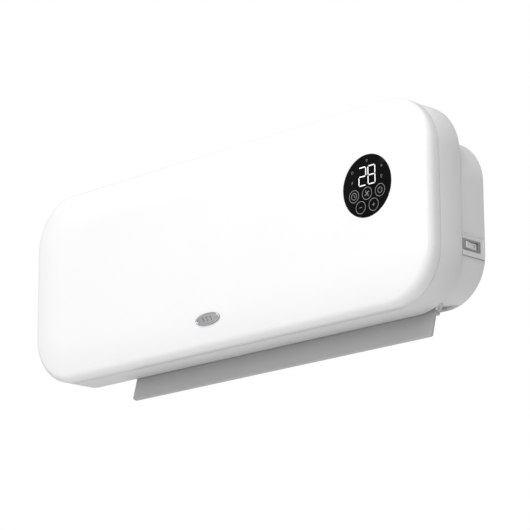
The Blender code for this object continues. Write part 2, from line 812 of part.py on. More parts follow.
def switch_body():
    """Dark body of the rocker switch, open at its face for the rocker."""
    y = SWITCH_MIDDLE_Y
    half_y = SWITCH_FRAME[0] / 2
    half_z = SWITCH_FRAME[1] / 2
    well_y = SWITCH_ROCKER[0] / 2 + 0.0007
    well_z = SWITCH_ROCKER[1] / 2 + SLIDE
    body = box(
        "switch_body",
        (CASE_RIGHT_X - SWITCH_DEPTH, y - half_y, SWITCH_Z - half_z),
        (CASE_RIGHT_X + BEZEL_PROUD + GAP, y + half_y, SWITCH_Z + half_z),
        dark_plastic(),
    )
    well = box(
        "switch_well_cut",
        (CASE_RIGHT_X - 0.009, y - well_y, SWITCH_Z - well_z),
        (CASE_RIGHT_X + 0.01, y + well_y, SWITCH_Z + well_z),
        dark_plastic(),
    )
    cut(body, well)
    return body


def switch_rocker():
    """Rocker on an upright axis, pressed in at its wall end; its face bends outward to both ends."""
    y = SWITCH_MIDDLE_Y
    x = CASE_RIGHT_X - ROCKER_DEPTH
    half = SWITCH_ROCKER[0] / 2
    end = ROCKER_PROUD + half * math.tan(ROCKER_TILT)
    edge = 0.0005
    heel = -0.0005
    root = (-0.0042, 0.0025)
    upper = [(end, half - edge), (end - edge, half), (heel, half), root]
    lower = [(across, -run) for across, run in upper[::-1]]
    world = [(x + across, y + run) for across, run in [(ROCKER_PROUD, 0), *upper, *lower]]
    rocker = prism(
        "switch_rocker",
        world,
        "Z",
        SWITCH_Z - SWITCH_ROCKER[1] / 2,
        SWITCH_Z + SWITCH_ROCKER[1] / 2,
        white_gloss(),
        origin=(x, y, SWITCH_Z),
    )
    rocker.rotation_euler.z = ROCKER_TILT
    return rocker


def switch_tabs():
    """Blade terminals at the back of the switch."""
    right = CASE_RIGHT_X - SWITCH_DEPTH - GAP
    length, sheet, width = TAB
    for number, way in enumerate((-1, 1), 1):
        y = SWITCH_MIDDLE_Y + way * 0.007
        low = (right - length, y - sheet / 2, SWITCH_Z - width / 2)
        high = (right, y + sheet / 2, SWITCH_Z + width / 2)
        box(f"switch_tab_{number}", low, high, brass())


# ---- air path ----
def scroll_radius(turn):
    """Distance of the duct's room side from the fan's axis: it grows steadily round the scroll."""
    share = (turn - SCROLL_START) / (SCROLL_END - SCROLL_START)
    return FAN_RADIUS + FAN_CLEARANCE + SCROLL_GROWTH * share


def scroll_path():
    """(y, z) along the duct's room side: down from the inlet, round the fan and down to the outlet."""
    lip_y = INLET_FRONT_Y - 0.002
    path = [(lip_y, DUCT_TOP_Z), (lip_y, FAN_Z + FAN_RADIUS + 0.008)]
    steps = 14
    for step in range(steps + 1):
        turn = SCROLL_START + (SCROLL_END - SCROLL_START) * step / steps
        radius = scroll_radius(turn)
        path.append((FAN_Y + radius * math.cos(turn), FAN_Z + radius * math.sin(turn)))
    path += [(DUCT_FRONT_Y, FAN_Z - 2.2 * FAN_RADIUS), (DUCT_FRONT_Y, DUCT_FOOT_Z)]
    return path


def rear_path():
    """(y, z) along the duct's wall side, with a nose that stands close to the fan."""
    nose = math.radians(-25)
    reach = FAN_RADIUS + FAN_CLEARANCE
    upper_y = CASE_INNER_BACK_Y - GAP - BRACKET_SIZE[1] - GAP - DUCT_SHEET
    return [
        (upper_y, DUCT_TOP_Z),
        (upper_y, FAN_Z + 0.002),
        (FAN_Y + reach * math.cos(nose), FAN_Z + reach * math.sin(nose)),
        (DUCT_BACK_Y, FAN_Z - FAN_RADIUS - 0.002),
        (DUCT_BACK_Y, DUCT_FOOT_Z),
    ]


def duct_walls():
    low = DUCT_LEFT_X + GAP
    high = DUCT_RIGHT_X - GAP
    front = sheet_outline(scroll_path(), DUCT_SHEET)
    back = sheet_outline(rear_path()[::-1], DUCT_SHEET)
    prism("duct_front", front, "X", low, high, grey_plastic())
    prism("duct_rear", back, "X", low, high, grey_plastic())


def duct_ends():
    """Plates that close the duct's two ends and carry the fan's axis."""
    front_y = FAN_Y - scroll_radius(math.pi) - DUCT_SHEET - 0.003
    step_y = CASE_INNER_BACK_Y - 0.001
    step_z = -0.006
    outline = [
        (DUCT_FRONT_Y - DUCT_SHEET - GAP, DUCT_FOOT_Z),
        (CASE_INNER_BACK_Y - GAP, DUCT_FOOT_Z),
        (CASE_INNER_BACK_Y - GAP, step_z),
        (step_y, step_z),
        (step_y, DUCT_TOP_Z),
        (INLET_FRONT_Y - 0.004, DUCT_TOP_Z),
        (FAN_Y - 0.012, FAN_Z + FAN_RADIUS + 0.010),
        (front_y, FAN_Z + 0.010),
        (front_y, FAN_Z - 0.020),
    ]
    places = (
        ("duct_end_left", DUCT_LEFT_X - END_PLATE, DUCT_LEFT_X, SHAFT_RADIUS + 0.002),
        ("duct_end_right", DUCT_RIGHT_X, DUCT_RIGHT_X + END_PLATE, BEARING_SEAT + GAP),
    )
    for name, low, high, hole in places:
        plate = prism(name, outline, "X", low, high, grey_plastic())
        bore = disc(f"{name}_cut", "X", (FAN_Y, FAN_Z), hole, low - 0.01, high + 0.01, grey_plastic(), 24)
        cut(plate, bore)


def inlet_grille():
    low = (DUCT_LEFT_X + GAP, INLET_FRONT_Y + GAP, CASE_TOP_Z - CASE_WALL)
    high = (DUCT_RIGHT_X - GAP, INLET_BACK_Y - GAP, CASE_TOP_Z - 0.0004)
    return slotted("inlet_grille", low, high, 44, 1, 0.002, 0.003, white_satin())


def outlet_grille():
    low = (DUCT_LEFT_X + GAP, DUCT_FRONT_Y, DUCT_FOOT_Z - GAP - GRILLE_SHEET)
    high = (DUCT_RIGHT_X - GAP, CASE_INNER_BACK_Y - GAP, DUCT_FOOT_Z - GAP)
    return slotted("outlet_grille", low, high, 34, 2, 0.002, 0.0018, grey_plastic())


# ---- fan ----
def impeller():
    """Cross-flow rotor: blades along its whole length between two end discs and one middle ring."""
    left = DUCT_LEFT_X + IMPELLER_GAP
    right = DUCT_RIGHT_X - IMPELLER_GAP
    middle = (left + right) / 2
    web = IMPELLER_WEB
    stations = (left, left + web, middle - web / 2, middle + web / 2, right - web, right)
    radii = (SHAFT_RADIUS + GAP, HUB_RADIUS, FAN_RADIUS - FAN_BLADE, FAN_RADIUS)
    sectors = 2 * FAN_BLADES

    def place(i, j, k):
        turn = 2 * math.pi * (i // 2 + BLADE_SHARE * (i % 2)) / FAN_BLADES
        turn += FAN_TWIST * (j == 3)
        return (stations[k], FAN_Y + radii[j] * math.cos(turn), FAN_Z + radii[j] * math.sin(turn))

    def solid(i, j, k):
        if k in (0, 4):
            return True
        if k == 2:
            return j == 2
        return j == 2 and i % 2 == 0

    origin = (middle, FAN_Y, FAN_Z)
    return lattice("impeller", (sectors, 3, 5), place, solid, aluminium(), wrap=True, origin=origin)


def impeller_shaft():
    left = (MOTOR_LEFT_X + MOTOR_RIGHT_X) / 2
    right = DUCT_RIGHT_X + END_PLATE + 0.003
    middle = (DUCT_LEFT_X + DUCT_RIGHT_X) / 2
    origin = (middle, FAN_Y, FAN_Z)
    return disc("impeller_shaft", "X", (FAN_Y, FAN_Z), SHAFT_RADIUS, left, right, steel(), 16, origin)


def fan_motor():
    """Round motor with a boss at each end and a bore for the shaft."""
    right = MOTOR_RIGHT_X
    left = MOTOR_LEFT_X
    bore = SHAFT_RADIUS + SLIDE
    edge = 0.002
    profile = (
        (bore, right + BOSS_LENGTH),
        (MOTOR_BOSS, right + BOSS_LENGTH),
        (MOTOR_BOSS, right),
        (MOTOR_RADIUS - edge, right),
        (MOTOR_RADIUS, right - edge),
        (MOTOR_RADIUS, left + edge),
        (MOTOR_RADIUS - edge, left),
        (MOTOR_BOSS, left),
        (MOTOR_BOSS, left - BOSS_LENGTH),
        (bore, left - BOSS_LENGTH),
    )
    return turned("fan_motor", "X", (FAN_Y, FAN_Z), profile, steel(), 24, ring=True)


def motor_mounts():
    """Rubber rings on the motor's bosses and the steel bracket that holds them to the casing's back."""
    right = MOTOR_RIGHT_X
    left = MOTOR_LEFT_X
    inner = MOTOR_BOSS + GAP
    for name, start in (("motor_ring_right", right + GAP), ("motor_ring_left", left - GAP - RING_WIDTH)):
        end = start + RING_WIDTH
        profile = ((inner, start), (RING_RADIUS, start), (RING_RADIUS, end), (inner, end))
        turned(name, "X", (FAN_Y, FAN_Z), profile, rubber(), 20, ring=True)
    half = MOTOR_BRACKET_HALF
    sheet = 0.0015
    arm_sheet = 0.0018
    back = CASE_INNER_BACK_Y - GAP
    low = left - 2 * GAP - arm_sheet
    high = right + 2 * GAP + arm_sheet
    near = (low, back - sheet, FAN_Z - half)
    bracket = box("motor_bracket", near, (high, back, FAN_Z + half), steel())
    for name, start in (("arm_left", low), ("arm_right", high - arm_sheet)):
        near = (start, FAN_Y - half, FAN_Z - half)
        far = (start + arm_sheet, back - sheet / 2, FAN_Z + half)
        join(bracket, box(name, near, far, steel()))
    past = 0.02
    hole = disc("bracket_bore", "X", (FAN_Y, FAN_Z), RING_RADIUS + GAP, low - past, high + past, steel(), 24)
    cut(bracket, hole)
    return bracket


def end_bearing():
    """Sleeve bearing in its rubber seat, in the right end plate."""
    low = DUCT_RIGHT_X - 0.0005
    high = DUCT_RIGHT_X + END_PLATE + 0.0025
    inner = SHAFT_RADIUS + SLIDE
    sleeve = ((inner, low), (BEARING_RADIUS, low), (BEARING_RADIUS, high), (inner, high))
    seat_inner = BEARING_RADIUS + GAP
    seat = ((seat_inner, low), (BEARING_SEAT, low), (BEARING_SEAT, high), (seat_inner, high))
    turned("end_bearing", "X", (FAN_Y, FAN_Z), sleeve, brass(), 20, ring=True)
    turned("bearing_seat", "X", (FAN_Y, FAN_Z), seat, rubber(), 20, ring=True)


# ---- heating element ----
def heater_core():
    """Aluminium block with two rows of air slots beside its ceramic tube."""
    low = (DUCT_LEFT_X + CORE_END, CORE_FRONT_Y, CORE_LOW_Z)
    high = (DUCT_RIGHT_X - CORE_END, CORE_BACK_Y, CORE_HIGH_Z)
    return slotted("heater_core", low, high, 30, 2, 0.0015, 0.003, aluminium())


def heater_holders():
    margin = HOLDER_MARGIN
    for name, low, high in (
        ("heater_holder_left", DUCT_LEFT_X + 2 * GAP, DUCT_LEFT_X + CORE_END - GAP),
        ("heater_holder_right", DUCT_RIGHT_X - CORE_END + GAP, DUCT_RIGHT_X - 2 * GAP),
    ):
        box(
            name,
            (low, CORE_FRONT_Y - margin, CORE_LOW_Z - margin),
            (high, CORE_BACK_Y + margin, CORE_HIGH_Z + margin),
            white_ceramic(),
        )


def heater_fittings():
    """Two blade terminals, the self-resetting cut-out and the one-shot fuse, on top of the right holder."""
    floor = CORE_HIGH_Z + HOLDER_MARGIN + GAP
    right = DUCT_RIGHT_X - 0.003
    length, sheet, width = (0.008, 0.0008, 0.006)
    for number, y in enumerate((CORE_FRONT_Y + 0.003, CORE_BACK_Y - 0.003), 1):
        low = (right - width, y - sheet / 2, floor)
        high = (right, y + sheet / 2, floor + length)
        box(f"heater_terminal_{number}", low, high, brass())
    middle_y = (CORE_FRONT_Y + CORE_BACK_Y) / 2
    disc("thermal_cutout", "Z", (right - 0.004, middle_y), 0.0055, floor, floor + 0.006, dark_plastic(), 20)
    left = DUCT_LEFT_X + 0.0035
    radius = 0.002
    place = (middle_y, floor + radius)
    disc("thermal_fuse", "X", place, radius, left, left + 0.009, white_ceramic(), 14)


# ---- louvre ----
def horn_turn():
    """Angle of the horn and of the crank above level, towards the wall, in the pose at rest."""
    return HORN_TURN - FLAP_OPEN


def flap_outline():
    """(y, z) of the flap when level: half a round barrel, the sheet, and a bead along its free edge."""
    top = FLAP_SHEET - FLAP_BARREL
    tail = 0.0006
    bead = 0.0008
    outline = []
    for turn in (math.radians(90 + 20 * step) for step in range(10)):
        outline.append((FLAP_BARREL * math.cos(turn), FLAP_BARREL * math.sin(turn)))
    outline += [
        (FLAP_CHORD - tail, -FLAP_BARREL),
        (FLAP_CHORD, tail - FLAP_BARREL),
        (FLAP_CHORD, top + bead),
        (FLAP_CHORD - 0.0012, top + bead),
        (FLAP_CHORD - 0.0022, top),
        (FLAP_BARREL * 1.6, top),
    ]
    return [(HINGE_Y + run, HINGE_Z + rise) for run, rise in outline]


def flap():
    """Louvre flap with its barrel on the hinge axis, end pins and the horn that the link drives."""
    axis = (HINGE_Y, HINGE_Z)
    origin = (CASE_X, *axis)
    made = prism("flap", flap_outline(), "X", FLAP_LEFT_X, FLAP_RIGHT_X, white_satin(), origin)
    left = FLAP_LEFT_X - OUTLET_MARGIN + 2 * GAP
    right = FLAP_RIGHT_X + OUTLET_MARGIN - 2 * GAP
    pins = disc("flap_pins", "X", axis, FLAP_PIN, left, right, white_satin(), 16, origin)
    horn_right = CRANK_LEFT_X - GAP - LINK_SHEET - GAP
    horn_left = horn_right - 0.002
    tip = (HINGE_Y + CRANK_RADIUS * math.cos(HORN_TURN), HINGE_Z + CRANK_RADIUS * math.sin(HORN_TURN))
    arm = arm_outline(axis, tip, 0.0016)
    horn = prism("flap_horn", arm, "X", horn_left, horn_right, white_satin(), origin)
    pin_left = (horn_left + horn_right) / 2
    pin = disc("horn_pin", "X", tip, PIN_RADIUS, pin_left, CRANK_LEFT_X - GAP, white_satin(), 12, origin)
    for piece in (pins, horn, pin):
        join(made, piece)
    for piece in (made, pins, horn, pin):
        piece.rotation_euler.x = -FLAP_OPEN
    return made


def arm_outline(start, end, half_width, steps=6):
    """Outline of a flat bar with round ends between two (y, z) points."""
    run = math.atan2(end[1] - start[1], end[0] - start[0])
    outline = []
    for middle, turn in ((end, run - math.pi / 2), (start, run + math.pi / 2)):
        for step in range(steps + 1):
            now = turn + math.pi * step / steps
            outline.append((middle[0] + half_width * math.cos(now), middle[1] + half_width * math.sin(now)))
    return outline


def crank_axis():
    return (HINGE_Y + LINK_RUN, HINGE_Z + LINK_RISE)


def louvre_crank():
    """Crank on the louvre motor's shaft, as long as the flap's horn and parallel to it."""
    axis = crank_axis()
    turn = horn_turn()
    tip = (axis[0] + CRANK_RADIUS * math.cos(turn), axis[1] + CRANK_RADIUS * math.sin(turn))
    origin = (CRANK_LEFT_X, *axis)
    arm = arm_outline(axis, tip, 0.002)
    sheet = 0.002
    inside = CRANK_LEFT_X + sheet / 2
    pin_left = CRANK_LEFT_X - GAP - LINK_SHEET - 2 * GAP
    shaft_right = STEPPER_LEFT_X + 0.006
    crank = prism("louvre_crank", arm, "X", CRANK_LEFT_X, CRANK_LEFT_X + sheet, white_satin(), origin)
    pin = disc("crank_pin", "X", tip, PIN_RADIUS, pin_left, inside, white_satin(), 12, origin)
    shaft = disc("crank_shaft", "X", axis, STEPPER_SHAFT, inside, shaft_right, white_satin(), 16, origin)
    join(crank, pin)
    join(crank, shaft)
    return crank


def louvre_link():
    """Bar between the crank's pin and the horn's; it stays parallel to the line between the two axes."""
    turn = horn_turn()
    low = (HINGE_Y + CRANK_RADIUS * math.cos(turn), HINGE_Z + CRANK_RADIUS * math.sin(turn))
    high = (low[0] + LINK_RUN, low[1] + LINK_RISE)
    left = CRANK_LEFT_X - GAP - LINK_SHEET
    right = CRANK_LEFT_X - GAP
    origin = (left, *high)
    link = prism("louvre_link", arm_outline(low, high, EYE_RADIUS), "X", left, right, white_satin(), origin)
    for name, place in (("link_hole_low", low), ("link_hole_high", high)):
        cut(link, disc(name, "X", place, PIN_RADIUS + GAP, left - 0.01, right + 0.01, white_satin(), 16))
    return link


def louvre_motor():
    """Small geared motor; its shaft sits off its middle, towards the wall."""
    axis = crank_axis()
    middle = (axis[0] - 0.007, axis[1] + 0.004)
    left = STEPPER_LEFT_X
    body = disc("louvre_motor", "X", middle, STEPPER_RADIUS, left, left + STEPPER_LENGTH, steel(), 28)
    bore = disc("stepper_bore", "X", axis, STEPPER_SHAFT + SLIDE, left - 0.01, left + 0.0065, steel(), 16)
    cut(body, bore)
    return body


def flap_ears():
    """Bearing plates that hang down beside the flap's ends, inside the ends of the outlet."""
    width = OUTLET_MARGIN - 2 * GAP
    half = 0.0028
    shoulder = 0.006
    top = 0.014
    outline = [
        (HINGE_Y - half, HINGE_Z - 0.001),
        (HINGE_Y + half, HINGE_Z - 0.001),
        (HINGE_Y + shoulder, HINGE_Z + shoulder),
        (HINGE_Y + shoulder, HINGE_Z + top),
        (HINGE_Y - half, HINGE_Z + top),
    ]
    for name, low in (("flap_ear_left", FLAP_LEFT_X - GAP - width), ("flap_ear_right", FLAP_RIGHT_X + GAP)):
        ear = prism(name, outline, "X", low, low + width, white_satin())
        radius = FLAP_PIN + SLIDE
        place = (HINGE_Y, HINGE_Z)
        cut(ear, disc(f"{name}_cut", "X", place, radius, low - 0.01, low + 0.01, white_satin(), 16))


# ---- wall side ----
def gland_place():
    """Middle (x, z) of the cable gland, low on the casing's back near its left end."""
    return (CASE_LEFT_X + GLAND_PLACE[0], CASE_BOTTOM_Z + GLAND_PLACE[1])


def cable_gland():
    """Grommet that the mains lead enters through: flange inside, bore through the middle."""
    flange = 0.003
    outer_y = CASE_BACK_Y + 0.0009
    inner_y = CASE_INNER_BACK_Y - GAP
    profile = (
        (GLAND_BORE, outer_y),
        (GLAND_RADIUS, outer_y),
        (GLAND_RADIUS, inner_y),
        (GLAND_RADIUS + flange, inner_y),
        (GLAND_RADIUS + flange, inner_y - flange),
        (GLAND_BORE, inner_y - flange),
    )
    return turned("cable_gland", "Y", gland_place(), profile, rubber(), 24, ring=True)


def hook_places():
    return (-HOOK_SPACING / 2, HOOK_SPACING / 2)


def wall_bracket():
    """Steel strip for the wall with two hooks that pass through the casing's back, and three screw holes."""
    half_x = BRACKET_SIZE[0] / 2
    half_z = BRACKET_SIZE[2] / 2
    sheet = BRACKET_SIZE[1]
    bracket = box("wall_bracket", (-half_x, -sheet, -half_z), (half_x, 0, half_z), steel())
    inner_y = CASE_INNER_BACK_Y - GAP
    for number, x in enumerate(hook_places(), 1):
        half = HOOK_WIDTH / 2
        near = (x - half, inner_y - sheet, HOOK_LOW)
        join(bracket, box(f"hook_tongue_{number}", near, (x + half, -sheet / 2, HOOK_SHEET_HIGH), steel()))
        join(bracket, box(f"hook_upturn_{number}", near, (x + half, inner_y, HOOK_HIGH), steel()))
    for number, x in enumerate(BRACKET_HOLES, 1):
        hole = disc(
            f"bracket_hole_{number}",
            "Y",
            (x, -BRACKET_HOLE_DROP),
            BRACKET_HOLE_RADIUS,
            -0.01,
            0.01,
            steel(),
        )
        cut(bracket, hole)
    return bracket


def bumpers():
    """Rubber feet low on the casing's back that keep it upright against the wall."""
    across, up = BUMPER_PLACE
    for name, x in (("bumper_left", CASE_LEFT_X + across), ("bumper_right", CASE_RIGHT_X - across)):
        disc(name, "Y", (x, BASE_Z + up), BUMPER_RADIUS, CASE_BACK_Y + GAP, -0.0001, rubber(), 20)


def case_screws():
    head = CASE_BACK_Y + GAP
    edge = 0.0008
    for number, place in enumerate(post_places(), 1):
        profile = (
            (SCREW_SHANK, head - SCREW_LENGTH),
            (SCREW_SHANK, head),
            (SCREW_HEAD, head),
            (SCREW_HEAD, head + edge),
            (SCREW_HEAD - edge, head + 0.0014),
        )
        turned(f"case_screw_{number}", "Y", place, profile, steel(), 16)


def main():
    for old in list(bpy.data.objects):
        bpy.data.objects.remove(old)
    front_panel()
    front_frame()
    rear_casing()
    lens()
    badge()
    digit_module()
    display_board()
    touch_springs()
    receiver()
    control_board()
    board_parts()
    switch_bezel()
    switch_body()
    switch_rocker()
    switch_tabs()
    duct_walls()
    duct_ends()
    inlet_grille()
    outlet_grille()
    impeller()
    impeller_shaft()
    fan_motor()
    motor_mounts()
    end_bearing()
    heater_core()
    heater_holders()
    heater_fittings()
    flap()
    louvre_crank()
    louvre_link()
    louvre_motor()
    flap_ears()
    cable_gland()
    wall_bracket()
    bumpers()
    case_screws()


main()
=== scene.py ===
import json
import math

import bmesh
import bpy
from mathutils import Euler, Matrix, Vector


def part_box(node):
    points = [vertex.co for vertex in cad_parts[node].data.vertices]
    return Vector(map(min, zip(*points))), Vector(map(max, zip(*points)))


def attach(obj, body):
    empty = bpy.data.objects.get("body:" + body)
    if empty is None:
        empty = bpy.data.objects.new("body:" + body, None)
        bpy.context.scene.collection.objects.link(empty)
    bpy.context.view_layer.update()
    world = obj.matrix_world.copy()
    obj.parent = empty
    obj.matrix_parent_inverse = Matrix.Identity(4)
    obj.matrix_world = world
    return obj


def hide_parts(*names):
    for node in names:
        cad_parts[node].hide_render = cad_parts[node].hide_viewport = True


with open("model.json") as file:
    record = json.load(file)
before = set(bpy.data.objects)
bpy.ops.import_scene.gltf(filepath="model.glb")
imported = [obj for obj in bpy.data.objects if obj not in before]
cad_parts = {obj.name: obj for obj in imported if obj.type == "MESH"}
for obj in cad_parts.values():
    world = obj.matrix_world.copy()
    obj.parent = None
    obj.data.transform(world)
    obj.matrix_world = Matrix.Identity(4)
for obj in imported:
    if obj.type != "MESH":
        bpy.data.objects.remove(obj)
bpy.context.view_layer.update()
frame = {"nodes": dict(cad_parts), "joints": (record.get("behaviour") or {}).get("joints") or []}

# ---- places read from the frame ----
RIM_END_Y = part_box("front_frame")[1].y
CASE_LOW, CASE_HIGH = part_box("rear_casing")
PANEL_LOW, PANEL_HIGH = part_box("front_panel")
LENS_LOW, LENS_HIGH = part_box("display_lens")
BADGE_LOW, BADGE_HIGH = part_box("badge")
FLAP_LOW, FLAP_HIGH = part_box("flap")
BEZEL_LOW, BEZEL_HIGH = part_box("switch_bezel")
INLET_LOW, INLET_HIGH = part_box("inlet_grille")
GLAND_LOW, GLAND_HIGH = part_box("cable_gland")
HINGE = Vector(next(j["pos_m"] for j in frame["joints"] if j["name"] == "louvre_hinge"))
ROCKER_AXIS = Vector(next(j["pos_m"] for j in frame["joints"] if j["name"] == "power_rocker"))

# ---- sizes ----
GAP = 0.0003
FACET_MERGE = 0.000002
CUT_PAST = 0.01
EASE_SHARE = 0.3
PANEL_CORNER = 0.054
PANEL_SIDE = 0.007
PANEL_EDGE = 0.009
PANEL_CROWN = 0.0036
PANEL_CROWN_WIDTH = 0.035
PANEL_WALL = 0.0025
TONGUE = 0.004
TONGUE_WALL = 0.0015
TONGUE_EASE = 0.0003
RIM_WALL = 0.0025
RIM_LIP = 0.006
RIM_FOOT = 0.0045
RIM_BACK_ROUND = 0.0009
SEAM_ROUND = 0.0005
CASE_CORNER = 0.050
CASE_DRAFT = 0.004
CASE_WALL = 0.0025
CASE_BACK_ROUND = 0.0014
CASE_FRONT_ROUND = 0.0004
CASE_INNER_ROUND = 0.001
CASE_EDGE = 0.0004
POST_RADIUS = 0.0045
POST_ROUND = 0.0004
POST_SINK = 0.004
BORE_DEPTH = 0.016
SCREW_HOLE = 0.0016
GLAND_HOLE = 0.0083
HOOK_PLACE = 0.110
HOOK_CUT_HALF = 0.014
HOOK_CUT_LOW = -0.004
HOOK_CUT_HIGH = 0.0115
OUTLET_MARGIN = 0.003
OUTLET_GAP = 0.0006
LENS_BEVEL = 0.0003
FLAP_CHORD = 0.0272
FLAP_LEAN = math.radians(104.3)
FLAP_CORNER = 0.0032
FLAP_EDGE = 0.00025
SWITCH_NOTCH = 0.001
# Width and depths of the dark strip round the switch plate, a painted shadow gap.
PAINTED_GAP = 0.0004
PAINTED_GAP_BACK = -0.0002
PAINTED_GAP_FRONT = 0.00025
ROCKER_PROUD = 0.0020
ROCKER_TILT = math.radians(7)
ROCKER_MARK_RUN = 0.0045
ROCKER_BAR_HALF = (0.0003, 0.0011)
ROCKER_RING = (0.0012, 0.0007)
ROCKER_MARK_BACK = -0.0001
ROCKER_MARK_FRONT = 0.00005
SILL_START = 0.0089
SILL_LAP = 0.001
SILL_LENGTH = 0.030
SILL_RISE = 0.0038
SILL_SHEET = 0.0013

SEAM_Y = PANEL_HIGH.y - TONGUE
RIM_BACK_Y = CASE_LOW.y - GAP
CASE_FRONT_Y = CASE_LOW.y
CASE_BACK_Y = CASE_HIGH.y
PANEL_MIDDLE = ((PANEL_LOW.x + PANEL_HIGH.x) / 2, (PANEL_LOW.z + PANEL_HIGH.z) / 2)
PANEL_SIZE = (PANEL_HIGH.x - PANEL_LOW.x, PANEL_HIGH.z - PANEL_LOW.z)
CASE_MIDDLE_X = (CASE_LOW.x + CASE_HIGH.x) / 2
LENS_MIDDLE = ((LENS_LOW.x + LENS_HIGH.x) / 2, (LENS_LOW.z + LENS_HIGH.z) / 2)
LENS_RADIUS = (LENS_HIGH.x - LENS_LOW.x) / 2


# ---- materials ----
class Look:
    """A Principled material whose colour, roughness and relief come from procedural textures."""

    def __init__(self, name, colour, roughness, metallic=0.0):
        found = bpy.data.materials.new(name)
        found.use_nodes = True
        found.diffuse_color = (*colour, 1)
        self.material = found
        self.nodes = found.node_tree.nodes
        self.links = found.node_tree.links
        self.shader = self.nodes["Principled BSDF"]
        self.set("Base Color", (*colour, 1))
        self.set("Roughness", roughness)
        self.set("Metallic", metallic)
        self.place = self.nodes.new("ShaderNodeTexCoord").outputs["Object"]

    def set(self, socket, value):
        self.shader.inputs[socket].default_value = value

    def stretched(self, scale):
        """The object's coordinates stretched by a factor for each direction."""
        mapping = self.nodes.new("ShaderNodeMapping")
        mapping.inputs["Scale"].default_value = scale
        self.links.new(self.place, mapping.inputs["Vector"])
        return mapping.outputs["Vector"]

    def noise(self, scale, detail=4.0, place=None):
        texture = self.nodes.new("ShaderNodeTexNoise")
        texture.inputs["Scale"].default_value = scale
        texture.inputs["Detail"].default_value = detail
        self.links.new(place or self.place, texture.inputs["Vector"])
        return texture.outputs["Fac"]

    def cells(self, scale, place=None):
        texture = self.nodes.new("ShaderNodeTexVoronoi")
        texture.inputs["Scale"].default_value = scale
        self.links.new(place or self.place, texture.inputs["Vector"])
        return texture.outputs["Distance"]

    def roughness(self, source, low, high):
        spread = self.nodes.new("ShaderNodeMapRange")
        spread.inputs["From Min"].default_value = 0.3
        spread.inputs["From Max"].default_value = 0.7
        spread.inputs["To Min"].default_value = low
        spread.inputs["To Max"].default_value = high
        self.links.new(source, spread.inputs["Value"])
        self.links.new(spread.outputs["Result"], self.shader.inputs["Roughness"])

    def colour(self, source, dark, light, start=0.35, end=0.65):
        ramp = self.nodes.new("ShaderNodeValToRGB")
        ramp.color_ramp.elements[0].position = start
        ramp.color_ramp.elements[0].color = (*dark, 1)
        ramp.color_ramp.elements[1].position = end
        ramp.color_ramp.elements[1].color = (*light, 1)
        self.links.new(source, ramp.inputs["Fac"])
        self.links.new(ramp.outputs["Color"], self.shader.inputs["Base Color"])
        return ramp.outputs["Color"]

    def relief(self, source, height, strength=1.0, under=None):
        bump = self.nodes.new("ShaderNodeBump")
        bump.inputs["Distance"].default_value = height
        bump.inputs["Strength"].default_value = strength
        self.links.new(source, bump.inputs["Height"])
        if under:
            self.links.new(under, bump.inputs["Normal"])
        self.links.new(bump.outputs["Normal"], self.shader.inputs["Normal"])
        return bump.outputs["Normal"]


def gloss_white(name="gloss_white", level=0.86):
    """Polished moulding: faint flow marks in the tone, an orange-peel ripple and an even gloss."""
    look = Look(name, (level, level, level), 0.3)
    look.set("Specular IOR Level", 0.5)
    look.set("Coat Weight", 0.25)
    look.set("Coat Roughness", 0.08)
    tone = look.noise(9, 3)
    look.colour(tone, (level - 0.004,) * 3, (level + 0.004,) * 3)
    ripple = look.relief(look.noise(200, 1), 0.00001, 0.2)
    look.relief(look.noise(2400, 2), 0.000004, 0.3, ripple)
    return look.material


def satin_white(name="satin_white", level=0.74):
    """Spark-eroded moulding: an even fine grain, slightly uneven sheen."""
    look = Look(name, (level, level, level), 0.45)
    look.set("Specular IOR Level", 0.42)
    tone = look.noise(14, 4)
    look.colour(tone, (level - 0.008, level - 0.008, level - 0.007), (level + 0.006,) * 3)
    look.roughness(look.noise(120, 5), 0.42, 0.52)
    ripple = look.relief(look.noise(250, 1), 0.00001, 0.2)
    look.relief(look.noise(3200, 3), 0.000022, 0.5, ripple)
    return look.material


def grey_moulding():
    """Unpainted grey moulding of the ducts."""
    look = Look("grey_moulding", (0.34, 0.34, 0.35), 0.55)
    look.colour(look.noise(30, 4), (0.31, 0.31, 0.32), (0.36, 0.36, 0.37))
    look.roughness(look.noise(150, 4), 0.48, 0.62)
    look.relief(look.noise(2600, 3), 0.00003, 0.5)
    return look.material


def dark_moulding(name="dark_moulding", level=0.055):
    """Fine-grained moulding or ink of one grey level."""
    look = Look(name, (level, level, level * 1.05), 0.42)
    look.colour(look.noise(60, 4), (level * 0.8,) * 3, (level * 1.2,) * 3)
    look.roughness(look.noise(300, 4), 0.34, 0.5)
    look.relief(look.noise(3400, 3), 0.00002, 0.5)
    return look.material


def black_lens():
    """Smoked acrylic: near black, glossy, with faint smears in the gloss."""
    look = Look("black_lens", (0.003, 0.003, 0.0033), 0.08)
    look.set("Specular IOR Level", 0.07)
    look.colour(look.noise(40, 3), (0.0022, 0.0022, 0.0025), (0.0038, 0.0038, 0.004))
    look.roughness(look.noise(55, 6), 0.06, 0.14)
    look.relief(look.noise(180, 2), 0.00002, 0.1)
    return look.material


def lit(name, level, glow):
    """A light segment seen through the smoked window: a little brighter in patches, like a diffuser."""
    look = Look(name, (level, level, level), 0.4)
    look.set("Emission Strength", glow)
    tone = look.colour(look.noise(900, 2), (level * 0.93,) * 3, (level, level, level * 1.01))
    look.links.new(tone, look.shader.inputs["Emission Color"])
    look.relief(look.noise(2000, 2), 0.00001, 0.3)
    return look.material


def chrome():
    look = Look("chrome", (0.62, 0.62, 0.64), 0.12, 1.0)
    look.colour(look.noise(200, 3), (0.58, 0.58, 0.60), (0.66, 0.66, 0.68))
    look.roughness(look.noise(900, 4, look.stretched((1, 1, 9))), 0.16, 0.3)
    look.relief(look.noise(1500, 2), 0.00001, 0.2)
    return look.material


